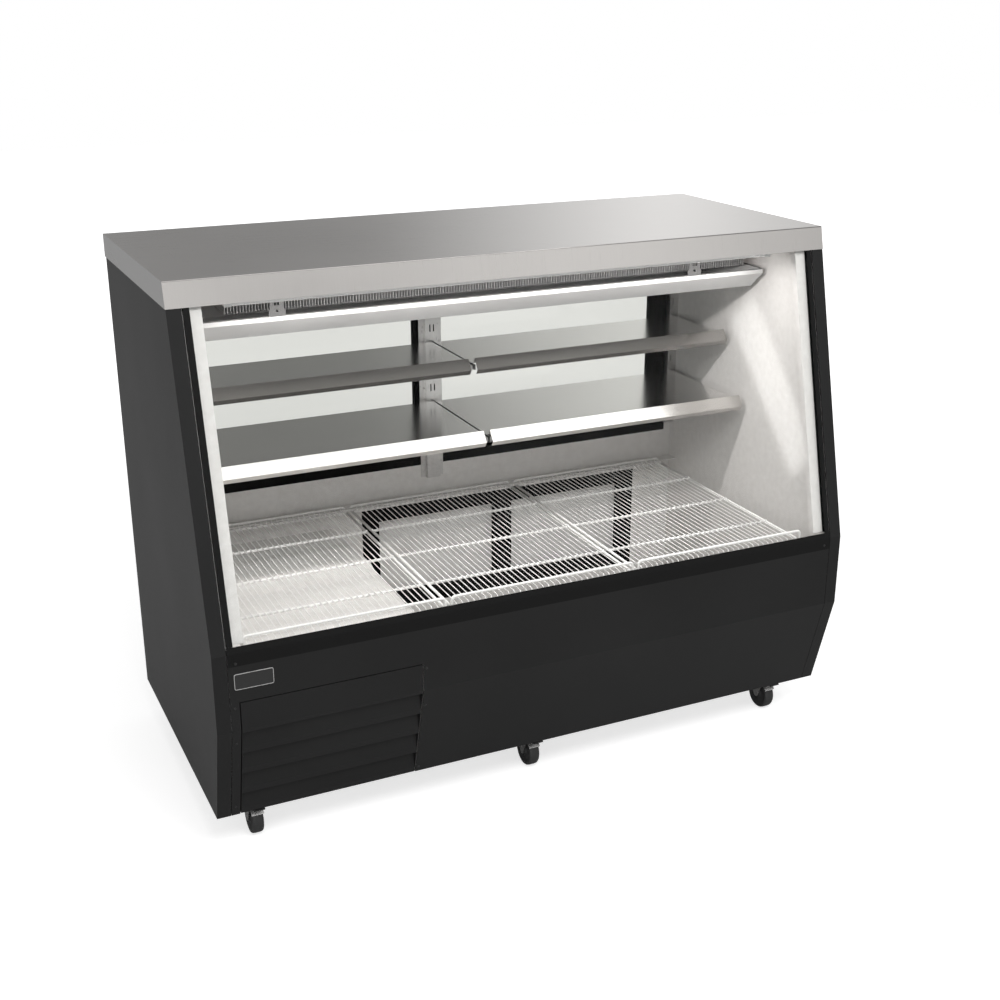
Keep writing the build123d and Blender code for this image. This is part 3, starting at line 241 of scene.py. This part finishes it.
def white_liner():
    """White enamelled liner with a fine stucco emboss and a mottled sheen; the sloping jambs get a paler
    colour as painted light.
    """
    liner = Finish("white_liner", IOR=1.5)
    mottle = liner.noise(60.0, 4.0, None, 0.6)
    stucco = liner.noise(260.0, 2.0)
    # The sloping jambs, found by their lean, get a paler white: painted light where the lamps fall on them.
    lit_jamb = liner.facing("Z").near(JAMB_NORMAL_Z, 0.02)
    wall = liner.ramp(mottle, [(0.3, grey(0.68, 0.022)), (0.7, grey(0.76, 0.016))])
    return liner.vary(Base_Color=liner.blend(lit_jamb, wall, grey(0.86, -0.004)),
                      Roughness=mottle * 0.22 + 0.30, Normal=liner.bump(stucco, 0.00012)).material


# Where the drip pan ends and its hanger tabs begin
PAN_TOP_Z = 1.0935


def pan_enamel():
    """White enamelled sheet of the drip pan; the hanger tabs above it get a dark grey as painted shade."""
    enamel = Finish("pan_enamel", IOR=1.5)
    mottle = enamel.noise(9.0, 4.0)
    white = enamel.ramp(mottle, [(0.3, 0.54), (0.7, 0.60)])
    # The hanger tabs above the pan's top get a dark grey: painted shade against the lamp that lights them.
    shaded_tab = enamel.axis("Z") > PAN_TOP_Z
    return enamel.vary(Base_Color=enamel.blend(shaded_tab, white, grey(0.10)), Roughness=mottle * 0.15 + 0.30,
                       Normal=enamel.bump(enamel.noise(300.0, 2.0), 0.00004)).material


def zinc_steel(name, low, high, roughness):
    """Bright plated steel with small crystalline patches."""
    zinc = Finish(name, IOR=2.0)
    spangle = zinc.noise(120.0, 3.0, None, 0.6)
    tone = zinc.ramp(spangle, [(0.3, grey(low, 0.01)), (0.7, grey(high, 0.01))])
    return zinc.vary(Base_Color=tone, Metallic=1.0, Roughness=spangle * 0.16 + roughness,
                     Normal=zinc.bump(spangle, 0.00003)).material


def clear_pane(name, tint, reflection):
    """A pane that lets light straight through; reflection is its share of what real glass would mirror."""
    pane = Finish(name)
    through = pane.node("ShaderNodeBsdfTransparent", None, {"Color": tint})
    mirror = pane.node("ShaderNodeBsdfGlossy", None, {"Color": (1.0, 1.0, 1.0, 1.0), "Roughness": 0.01})
    edge_on = pane.node("ShaderNodeFresnel", None, {"IOR": 1.45}) * reflection
    mixed = pane.node("ShaderNodeMixShader", None, {0: edge_on, 1: through, 2: mirror})
    pane.tree.links.new(mixed.socket, pane.output.inputs["Surface"])
    return pane.material


def white_wire():
    """White epoxy coat over wire: glossy, with small runs."""
    coat = Finish("white_wire", IOR=1.5, Coat_Weight=0.3)
    runs = coat.noise(160.0, 3.0)
    return coat.vary(Base_Color=coat.ramp(runs, [(0.3, grey(0.84, 0.01)), (0.7, grey(0.90, 0.01))]),
                     Roughness=runs * 0.15 + 0.25, Normal=coat.bump(runs, 0.00005)).material


def fin_aluminium():
    """Mill aluminium fins, streaked along their height."""
    fins = Finish("fin_aluminium", IOR=1.6)
    streak = fins.noise(1.0, 3.0, fins.stretched((90.0, 90.0, 30.0)))
    return fins.vary(Base_Color=fins.ramp(streak, [(0.3, 0.28), (0.7, 0.40)]), Metallic=0.2,
                     Roughness=streak * 0.2 + 0.32).material


def copper_tube():
    """Copper with brown heat marks."""
    copper = Finish("copper_tube", IOR=1.5)
    tarnish = copper.noise(45.0, 4.0, None, 0.6)
    tone = copper.ramp(tarnish, [(0.35, (0.90, 0.40, 0.22, 1.0)), (0.7, (0.62, 0.24, 0.12, 1.0))])
    return copper.vary(Base_Color=tone, Metallic=0.6, Roughness=tarnish * 0.25 + 0.2).material


def dark_enamel():
    """Black enamel on the compressor and the motor."""
    enamel = Finish("dark_enamel", IOR=1.5)
    peel = enamel.noise(150.0, 2.0)
    return enamel.vary(Base_Color=enamel.ramp(peel, [(0.3, 0.010), (0.7, 0.016)]), Roughness=peel * 0.1 + 0.3,
                       Normal=enamel.bump(peel, 0.0002)).material


def moulded_black(name, level, roughness):
    """Moulded black plastic or rubber with a fine spark-eroded grain."""
    plastic = Finish(name, IOR=1.47)
    grain = plastic.noise(900.0, 2.0)
    return plastic.vary(Base_Color=plastic.ramp(grain, [(0.3, level), (0.7, level * 1.4)]),
                        Roughness=grain * 0.12 + roughness, Normal=plastic.bump(grain, 0.00008)).material


def lamp_finish():
    """White sockets, base and tube of the lamp."""
    white = Finish("lamp_finish", IOR=1.5)
    tone = white.noise(60.0, 2.0)
    return white.vary(Base_Color=white.ramp(tone, [(0.3, 0.80), (0.7, 0.84)]),
                      Roughness=tone * 0.1 + 0.25).material


FINISHES = {
    "black_paint": black_paint(),
    "black_aluminium": dull_black("inner_black", 1.12),
    "countertop_steel": counter_steel(),
    # 0.55 is the grey of the lower shelves' noses, painted darker as painted shade.
    "shelf_steel": shelf_steel("shelf_steel", 0.55),
    "white_liner": white_liner(),
    "pan_paint": pan_enamel(),
    "bracket_steel": zinc_steel("bracket_steel", 0.56, 0.64, 0.22),
    "clear_glass": clear_pane("clear_glass", (0.99, 0.992, 0.987, 1.0), 0.08),
    "door_glass": clear_pane("door_glass", (0.745, 0.747, 0.733, 1.0), 0.5),
    "white_wire": white_wire(),
    "fin_aluminium": fin_aluminium(),
    "copper_tube": copper_tube(),
    "black_enamel": dark_enamel(),
    "fan_plastic": moulded_black("fan_plastic", 0.03, 0.4),
    "black_plastic": moulded_black("black_plastic", 0.012, 0.35),
    "wheel_rubber": moulded_black("wheel_rubber", 0.02, 0.5),
    "zinc_plate": zinc_steel("zinc_plate", 0.62, 0.74, 0.18),
    "lamp_tube": lamp_finish(),
}

# The finish of each CAD node is its slot's, apart from those that look different in the photograph
finish_of = {part["node"]: FINISHES[part["material_slot"]] for part in frame["record"]["subparts"]}
finish_of["storage_door_frame"] = FINISHES["black_aluminium"]
finish_of["left_storage_door"] = finish_of["right_storage_door"] = storage_door_paint()
# The upper shelves' noses are painted darker still, at 0.36, as painted shade.
finish_of["upper_left_shelf"] = finish_of["upper_right_shelf"] = shelf_steel("upper_shelf_shaded_nose", 0.36)
finish_of["glass_frame"] = dull_black("frame_black", 1.24)
for name, part in frame["nodes"].items():
    part.data.materials.clear()
    part.data.materials.append(finish_of[name])


def box_of(name):
    """Lowest and highest corner of a CAD node."""
    mesh = frame["nodes"][name].data
    points = np.empty(len(mesh.vertices) * 3)
    mesh.vertices.foreach_get("co", points)
    points = points.reshape(-1, 3)
    return points.min(axis=0), points.max(axis=0)


def quads(rows, columns, start):
    """Corner numbers of the faces of a grid that closes on itself along its columns."""
    row = np.arange(rows - 1)[:, None] * columns + start
    column = np.arange(columns)[None, :]
    ahead = (column + 1) % columns
    corners = (row + column, row + ahead, row + columns + ahead, row + columns + column)
    return np.stack(corners, axis=-1).reshape(-1, 4)


def outward(surface):
    """The grid, with its columns reversed if its faces look inward.

    Six times the volume inside is the sum of a . (b x c + c x d) over the faces a, b, c, d."""
    a, b, c, d = surface.reshape(-1, 3)[quads(*surface.shape[:2], 0)].transpose(1, 0, 2)
    return surface if (a * (np.cross(b, c) + np.cross(c, d))).sum() > 0 else surface[:, ::-1]


def make_piece(name, surfaces, slot, body, finish=None, smooth=True, replaces=None):
    """Joins surfaces, each a grid of points (rows, columns, 3) closed along its columns, into one object."""
    surfaces = [outward(surface) for surface in surfaces]
    points = np.concatenate([surface.reshape(-1, 3) for surface in surfaces])
    starts = np.cumsum([0] + [surface.shape[0] * surface.shape[1] for surface in surfaces[:-1]])
    faces = np.concatenate([quads(*surface.shape[:2], start) for surface, start in zip(surfaces, starts)])
    mesh = bpy.data.meshes.new(name)
    mesh.from_pydata(points.tolist(), [], faces.tolist())
    mesh.polygons.foreach_set("use_smooth", np.full(len(faces), smooth))
    mesh.materials.append(finish or FINISHES[slot])
    thing = bpy.data.objects.new(name, mesh)
    bpy.context.scene.collection.objects.link(thing)
    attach(thing, body)
    if replaces:
        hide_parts(replaces)


def rod(path, square, radius, sides=10):
    """A round bar along a path that lies in a plane; square is the unit vector square to that plane.

    Each ring is path + radius * (cos a * side + sin a * square), where side = direction x square, and both
    ends close on a point."""
    path, square = np.asarray(path, float), np.asarray(square, float)
    direction = np.gradient(path, axis=0)
    direction /= np.linalg.norm(direction, axis=1, keepdims=True)
    side = np.cross(direction, square)
    angle = np.linspace(0, 2 * pi, sides, endpoint=False)[None, :, None]
    rings = path[:, None] + radius * (np.cos(angle) * side[:, None] + np.sin(angle) * square)
    first = np.broadcast_to(path[:1, None], (1, sides, 3))
    last = np.broadcast_to(path[-1:, None], (1, sides, 3))
    return np.concatenate([first, rings, last])


# A direction that no turned piece has as its axis
ASKEW = (0.3, 0.5, 0.8)


def turned(profile, centre, axis, sides):
    """A solid of revolution: centre + height * axis + reach * (cos a * one + sin a * two).

    Each point of the profile is (reach from the axis, height along it), and one and two are square to the
    axis."""
    axis = np.asarray(axis, float)
    one = np.cross(axis, ASKEW)
    one /= np.linalg.norm(one)
    two = np.cross(axis, one)
    angle = np.linspace(0, 2 * pi, sides, endpoint=False)[None, :, None]
    profile = np.asarray(profile, float)
    reach, height = profile[:, :1, None], profile[:, 1:, None]
    return np.asarray(centre, float) + height * axis + reach * (np.cos(angle) * one + np.sin(angle) * two)


def rounded_outline(width, height, corner, steps=6):
    """Points round a rectangle with rounded corners, centred on the origin: four quarter circles in turn."""
    angle = np.linspace(0, pi / 2, steps)[None, :] + np.arange(4)[:, None] * pi / 2
    centre_x = np.array([1, -1, -1, 1])[:, None] * (width / 2 - corner)
    centre_z = np.array([1, 1, -1, -1])[:, None] * (height / 2 - corner)
    points = np.stack([centre_x + corner * np.cos(angle), centre_z + corner * np.sin(angle)], axis=-1)
    return points.reshape(-1, 2)


def wall_plate(centre, width, height, corner, steps, facing=-1):
    """A plate on an upright wall; facing is the sign of its Y, and steps are (inset, rise), rim to middle."""
    loops = []
    for inset, rise in steps:
        outline = rounded_outline(width - 2 * inset, height - 2 * inset, max(corner - inset, 1e-5))[::-facing]
        loops.append(np.stack([centre[0] + outline[:, 0], np.full(len(outline), centre[1] + facing * rise),
                               centre[2] + outline[:, 1]], axis=-1))
    top = (centre[0], centre[1] + facing * steps[-1][1], centre[2])
    return np.stack(loops + [np.broadcast_to(top, loops[0].shape)])


def bent(corner_points, radius, steps=5):
    """A path of straight runs joined by curves (1 - s)^2 * start + 2 s (1 - s) * corner + s^2 * end.

    Start and end lie one radius from the corner on its two runs."""
    corner_points = np.asarray(corner_points, float)
    path = [corner_points[0]]
    for before, corner, after in zip(corner_points, corner_points[1:], corner_points[2:]):
        start = corner + (before - corner) / np.linalg.norm(before - corner) * radius
        end = corner + (after - corner) / np.linalg.norm(after - corner) * radius
        share = np.linspace(0, 1, steps)[:, None]
        path.extend((1 - share) ** 2 * start + 2 * share * (1 - share) * corner + share ** 2 * end)
    path.append(corner_points[-1])
    return np.array(path)


RACK_WIRES, WIRE_RADIUS, WIRE_BEND = 33, 0.0012, 0.004
BAR_RADIUS, BAR_BEND = 0.0032, 0.009
CROSS_BARS = (-0.213, -0.037, 0.139)
BEAD_RADIUS, BEAD_HEIGHT = 0.0030, 0.0026
# Heights above the rack's foot: the wires, their raised back ends and the front rail
WIRE_HEIGHT, LIP_HEIGHT, RAIL_HEIGHT = 0.0105, 0.0155, 0.030
# How far the wires stop behind the CAD rack's front, so that the raised rail clears the glass when lifted
RACK_SETBACK = 0.0065
# How far the wires run on past their front and back bends
FRONT_TURN, LIP_REACH = 0.007, 0.008
# How far the two rails lie beyond those bends, and how much higher the back one's ends stop
FRONT_RAIL, BACK_RAIL, BACK_RAIL_FOOT = 0.010, 0.013, 0.009


def wire_rack(name, left, right):
    """Round wires over a rim and cross rods, bent down at the front by a raised rail and up at the back."""
    low, high = box_of(name)
    wire, bar = WIRE_RADIUS, BAR_RADIUS
    left, right, middle = left + bar, right - bar, (left + right) / 2
    front, back, foot = low[1] + RACK_SETBACK, high[1] - LIP_REACH, low[2]
    wire_z, lip_z = foot + WIRE_HEIGHT, foot + LIP_HEIGHT
    bar_z = wire_z - wire - bar
    bend = bent([(0, back + 2 * LIP_REACH, lip_z), (0, back + LIP_REACH, lip_z), (0, back, wire_z),
                 (0, front, wire_z), (0, front - FRONT_TURN, foot + wire)], WIRE_BEND)
    places = np.linspace(left, right, RACK_WIRES)
    wires = rod(bend, (1, 0, 0), wire, 8) + np.array([1, 0, 0]) * places[1:-1, None, None, None]
    sides = [rod([(x, back, bar_z), (x, 0, bar_z), (x, front, bar_z)], (0, 0, 1), bar) for x in (left, right)]
    front_rail = (front - FRONT_RAIL, foot + bar, foot + RAIL_HEIGHT)
    back_rail = (back + BACK_RAIL, foot + bar + BACK_RAIL_FOOT, lip_z)
    rails = [rod(bent([(left, y, end), (left, y, top), (right, y, top), (right, y, end)], BAR_BEND),
                 (0, 1, 0), bar)
             for y, end, top in (front_rail, back_rail)]
    crossings = (*CROSS_BARS, back - bar)
    bars = [rod([(left, y, bar_z), (middle, y, bar_z), (right, y, bar_z)], (0, 0, 1), bar) for y in crossings]
    bead = turned([(0, -1), (0.7, -0.7), (1, 0), (0.7, 0.7), (0, 1)] * np.array([BEAD_RADIUS, BEAD_HEIGHT]),
                  (0, 0, 0), (0, 0, 1), 8)
    spots = np.array([(x, y, wire_z - wire) for x in places for y in crossings])
    beads = bead + spots[:, None, None]
    make_piece(name + "_wires", [*wires, *sides, *rails, *bars, *beads], "white_wire", name, replaces=name)


wire_rack("left_rack", -0.6895, -0.246)
wire_rack("middle_rack", -0.237, 0.212)
wire_rack("right_rack", 0.221, 0.670)


def screw_head(place, axis, radius, rise):
    """A pan head: a low dome with a sunken middle for the driver."""
    profile = [(0, 0), (radius, 0), (radius, rise * 0.4), (radius * 0.8, rise * 0.9), (radius * 0.45, rise),
               (radius * 0.38, rise * 0.5), (0, rise * 0.4)]
    return turned(profile, place, axis, 14)


FRONT_Y = -0.3835
PLATE_CENTRE = (-0.6785, FRONT_Y, 0.4375)
PLATE_WIDTH, PLATE_HEIGHT, PLATE_CORNER, PLATE_BORDER = 0.081, 0.035, 0.004, 0.0011
BORDER_STEPS = [(0, -0.0002), (0, 0.0003), (0.0002, 0.0005), (PLATE_BORDER, 0.0005), (0.0013, 0.0003)]
plate_border = wall_plate(PLATE_CENTRE, PLATE_WIDTH, PLATE_HEIGHT, PLATE_CORNER, BORDER_STEPS)
make_piece("nameplate_border", [plate_border], "bracket_steel", "cabinet",
           finish=zinc_steel("plate_rim", 0.6, 0.7, 0.2))
plate_face = wall_plate(PLATE_CENTRE, PLATE_WIDTH - 2 * PLATE_BORDER, PLATE_HEIGHT - 2 * PLATE_BORDER,
                        PLATE_CORNER - PLATE_BORDER, [(0, 0.0003), (0, 0.00035)])
make_piece("nameplate", [plate_face], "black_plastic", "cabinet", smooth=False)

SCREW_RADIUS, SCREW_RISE = 0.003, 0.0008
# The height where the toe begins, and how far it runs back for each metre down
TOE_TOP, TOE_LEAN = 0.329, 0.2767
front_screws = [screw_head((x, FRONT_Y, z), (0, -1, 0), SCREW_RADIUS, SCREW_RISE)
                for x, z in ((-0.721, 0.380), (-0.309, 0.381), (-0.7136, 0.478), (0.715, 0.483))]
toe_normal = np.array([0, -1, -TOE_LEAN]) / np.hypot(1, TOE_LEAN)
toe_screws = [screw_head((x, FRONT_Y + (TOE_TOP - z) * TOE_LEAN, z), toe_normal, SCREW_RADIUS, SCREW_RISE)
              for x, z in ((-0.721, 0.295), (-0.721, 0.120), (-0.309, 0.287), (-0.309, 0.110))]
make_piece("front_screws", front_screws + toe_screws, "black_paint", "cabinet",
           finish=moulded_black("screw_black", 0.006, 0.25))

# The rounded fold along the countertop's top front edge, which stands up by a fifth of its radius
HEM_RADIUS, HEM_Y, HEM_END = 0.0013, -0.2172, 0.001
top_low, top_high = box_of("countertop")
hem_z = top_high[2] - HEM_RADIUS * 0.8
hem = rod([(x, HEM_Y, hem_z) for x in (top_low[0] + HEM_END, 0.0, top_high[0] - HEM_END)],
          (0, 0, 1), HEM_RADIUS, 12)
make_piece("countertop_hem", [hem], "countertop_steel", "cabinet")


def door_ring(low, high, left, right, rail):
    """A door's frame: one bevelled section run round four mitred corners, each side with its own width.

    Each point of the section is (share of the side's width, step along Y from the face): four on the near
    face, four on the far one, and the first again."""
    section = np.array([(0, 0.001), (0.03, 0), (0.97, 0), (1, 0.001),
                        (1, -0.001), (0.97, 0), (0.03, 0), (0, -0.001), (0, 0.001)])
    share, step = section.T
    near_face = np.array([True] * 4 + [False] * 4 + [True])
    depth = np.where(near_face, low[1], high[1]) + step
    across = np.stack([low[0] + share * left, high[0] - share * right] * 2, axis=-1)[:, [0, 1, 3, 2]]
    upward = np.stack([low[2] + share * rail, high[2] - share * rail], axis=-1)[:, [0, 0, 1, 1]]
    return np.stack([across, np.broadcast_to(depth[:, None], across.shape), upward], axis=-1)[::-1]


def slab(low, high):
    """A box, from the middle of its near face round its corners to the middle of its far face."""
    middle_x, _, middle_z = (low + high) / 2
    front, back = ([(low[0], y, low[2]), (high[0], y, low[2]), (high[0], y, high[2]), (low[0], y, high[2])]
                   for y in (low[1], high[1]))
    return np.array([[(middle_x, low[1], middle_z)] * 4, front, back, [(middle_x, high[1], middle_z)] * 4])


FIN_PITCH, FIN_THICKNESS = 0.0065, 0.0014
fins_low, fins_high = box_of("evaporator_fins")
fins = [slab(np.array([x, *fins_low[1:]]), np.array([x + FIN_THICKNESS, *fins_high[1:]]))
        for x in np.arange(fins_low[0], fins_high[0] - FIN_THICKNESS, FIN_PITCH)]
make_piece("coil_fins", fins, "fin_aluminium", "cabinet", smooth=False, replaces="evaporator_fins")


SLIM_STILE, BROAD_STILE, DOOR_RAIL = 0.025, 0.050, 0.034
# How far each pane reaches into its stiles
PANE_HELD = 0.0075
CUP_WIDTH, CUP_HEIGHT, CUP_CORNER = 0.014, 0.12, 0.007
CUP_STEPS = [(0, -0.0002), (0.0003, 0.0006), (0.001, 0.0009), (0.0017, 0.0006), (0.0021, 0.0001)]


def sliding_door(side, way):
    """A sliding door with its pane and finger cup; way is -1 or 1, the side of its slim outer stile."""
    name = side + "_sliding_door"
    low, high = box_of(name)
    left, right = (SLIM_STILE, BROAD_STILE) if way < 0 else (BROAD_STILE, SLIM_STILE)
    make_piece(name + "_frame", [door_ring(low, high, left, right, DOOR_RAIL)], "black_aluminium", name,
               smooth=False, replaces=name)
    pane_low, pane_high = box_of(side + "_door_glass")
    pane_low[0], pane_high[0] = low[0] + left - PANE_HELD, high[0] - right + PANE_HELD
    make_piece(name + "_pane", [slab(pane_low, pane_high)], "door_glass", name, smooth=False,
               replaces=side + "_door_glass")
    edge = low[0] if way < 0 else high[0]
    cup_centre = (edge - way * SLIM_STILE / 2, high[1], (low[2] + high[2]) / 2)
    cup = wall_plate(cup_centre, CUP_WIDTH, CUP_HEIGHT, CUP_CORNER, CUP_STEPS, 1)
    make_piece(name + "_cup", [cup], "black_plastic", name)


sliding_door("left", -1)
sliding_door("right", 1)


def round_wheel(name):
    """A tyre with a crowned, softly shouldered tread, a sunken web and a raised hub round the axle.

    Each point of web and tread is (distance from the axle, share of half the wheel's width)."""
    low, high = box_of(name)
    centre = (low + high) / 2
    radius, half = (high[2] - low[2]) / 2, (high[0] - low[0]) / 2
    web = [(0.0042, 1.0), (0.0105, 1.0), (0.0115, 0.86), (0.013, 0.72), (0.028, 0.72), (0.030, 0.9)]
    tread = [(0.0325, 1.0), (radius - 0.0025, 0.98), (radius - 0.0008, 0.82), (radius, 0.45), (radius, 0.0)]
    other_half = [(reach, -height) for reach, height in (web + tread)[-2::-1]]
    profile = np.array(web + tread + other_half) * (1, half)
    make_piece(name + "_tyre", [turned(profile, centre, (1, 0, 0), 48)], "wheel_rubber", name, replaces=name)


for castor in CASTORS:
    round_wheel(castor + "_wheel")


def look_through(place, turn, lens):
    """The photograph's camera."""
    data = bpy.data.cameras.new("photo_camera")
    data.lens = lens
    data.sensor_width = 36.0
    camera = bpy.data.objects.new("photo_camera", data)
    camera.location = place
    camera.rotation_euler = [radians(angle) for angle in turn]
    bpy.context.scene.collection.objects.link(camera)
    bpy.context.scene.camera = camera


def soft_box(name, place, target, width, height, glow, colour=(1.0, 1.0, 1.0), mirrored=False):
    """A rectangular studio lamp that points at target; glow is how bright its face looks, 1 being white.

    Gloss and metal see it only where it is mirrored."""
    data = bpy.data.lights.new(name, "AREA")
    data.shape = "RECTANGLE"
    data.size = width
    data.size_y = height
    data.energy = glow * pi * width * height
    data.color = colour
    lamp = bpy.data.objects.new(name, data)
    lamp.location = place
    lamp.rotation_euler = (Vector(target) - Vector(place)).to_track_quat("-Z", "Y").to_euler()
    lamp.visible_camera = False
    lamp.visible_glossy = mirrored
    bpy.context.scene.collection.objects.link(lamp)
    return lamp


# What diffuse surfaces see behind the case and in front of it
BACK_LIGHT, FRONT_LIGHT = 0.4, 0.75
# What gloss sees from left (0) to right (1), in front of the case and behind it
FRONT_LEVELS = [(0.56, 1.6), (0.63, 0.0), (0.66, 0.15), (0.70, 1.9), (0.76, 1.5), (0.84, 0.4)]
BACK_LEVELS = [(0.42, 0.70), (0.60, 0.33), (0.67, 0.38), (0.72, 0.95), (0.76, 1.45), (0.795, 0.85)]


def surroundings():
    """White to the eye and through glass; metal and gloss see bands of brightness in front and behind."""
    world = bpy.data.worlds.new("studio")
    bpy.context.scene.world = world
    world.use_nodes = True
    room = Nodes(world.node_tree)
    direction = room.node("ShaderNodeTexCoord", output="Generated")
    across = room.node("ShaderNodeSeparateXYZ", None, {0: direction}, output="X") * 0.5 + 0.5
    along = room.node("ShaderNodeSeparateXYZ", None, {0: direction}, output="Y")
    front = (along * -1).between(-0.2, 0.2)
    mirrored = room.blend(front, room.ramp(across, BACK_LEVELS), room.ramp(across, FRONT_LEVELS))
    glossy = room.node("ShaderNodeLightPath", output="Is Glossy Ray")
    eye = room.node("ShaderNodeLightPath", output="Is Camera Ray")
    through = room.node("ShaderNodeLightPath", output="Is Transmission Ray")
    level = room.blend(glossy, room.blend(front, grey(BACK_LIGHT), grey(FRONT_LIGHT)), mirrored)
    plain = eye.math("MAXIMUM", through)
    room.put(room.tree.nodes["Background"], {"Color": room.blend(plain, level, grey(1.0))})


FLOOR_REACH = 14.0
# The floor's colour as the eye sees it, and as everything else does
SEEN_LEVEL, FLOOR_LEVEL = 0.6, 0.55
# Its glow to the eye by the case, how much that grows, and the distances between which it does
FLOOR_GLOW, FAR_GLOW, GLOW_REACH = 0.68, 0.3, (1.5, 3.5)
# The bands that gloss sees in it between two places along X, and the distances in front where they set in
FLOOR_BANDS = [(0.10, 0.30), (0.25, 0.0), (0.50, 0.38), (0.74, 0.30), (0.88, 0.0)]
BAND_SPAN, BAND_START = (0.0, 6.0), (3.5, 5.5)


def pale_floor():
    """White to the eye except in the case's shadow, and banded to gloss and metal."""
    mesh = bpy.data.meshes.new("floor")
    corners = [(x * FLOOR_REACH, y * FLOOR_REACH, 0) for x, y in ((-1, -1), (1, -1), (1, 1), (-1, 1))]
    mesh.from_pydata(corners, [], [(0, 1, 2, 3)])
    floor = bpy.data.objects.new("floor", mesh)
    bpy.context.scene.collection.objects.link(floor)
    pale = Finish("pale_floor", Roughness=0.9, Specular_IOR_Level=0.0)
    seen = pale.node("ShaderNodeLightPath", output="Is Camera Ray")
    mirrored = pale.node("ShaderNodeLightPath", output="Is Glossy Ray")
    far = pale.node("ShaderNodeVectorMath", {"operation": "LENGTH"}, {0: pale.place()}, output="Value")
    glow = far.between(*GLOW_REACH) * FAR_GLOW + FLOOR_GLOW
    bands = (pale.ramp(pale.axis("X").between(*BAND_SPAN), FLOOR_BANDS)
             * (pale.axis("Y") * -1).between(*BAND_START))
    pale.vary(Base_Color=pale.blend(seen, grey(FLOOR_LEVEL), grey(SEEN_LEVEL)), Emission_Color=grey(1.0),
              Emission_Strength=glow * seen + bands * mirrored)
    mesh.materials.append(pale.material)


# The narrow beam that makes the slanting band of light on the right wall
BEAM_SPREAD, BEAM_TILT = 0.27, 42.0

surroundings()
pale_floor()
soft_box("front_light", (1.15, -2.2, 3.5), (0.0, -0.1, 0.9), 3.2, 1.7, 1.9, mirrored=True)
soft_box("front_fill", (-0.4, -2.7, 3.1), (0.1, -0.2, 0.6), 1.6, 1.0, 10.0)
wall_beam = soft_box("wall_beam", (0.50, -0.130, 0.815), (0.70, -0.130, 0.815), 0.12, 0.44, 0.38)
wall_beam.data.spread = BEAM_SPREAD
wall_beam.rotation_euler.rotate_axis("Z", radians(BEAM_TILT))
soft_box("overhead_light", (0.0, 0.2, 4.0), (0.0, 0.0, 0.0), 2.5, 1.5, 0.6, mirrored=True)
soft_box("case_light", (0.0, -0.188, 1.14), (0.0, -0.05, 0.6), 1.25, 0.02, 52.0, (1.0, 0.965, 0.95))

look_through(CAMERA_PLACE, CAMERA_TURN, CAMERA_LENS)
bpy.context.scene.view_settings.view_transform = "Standard"
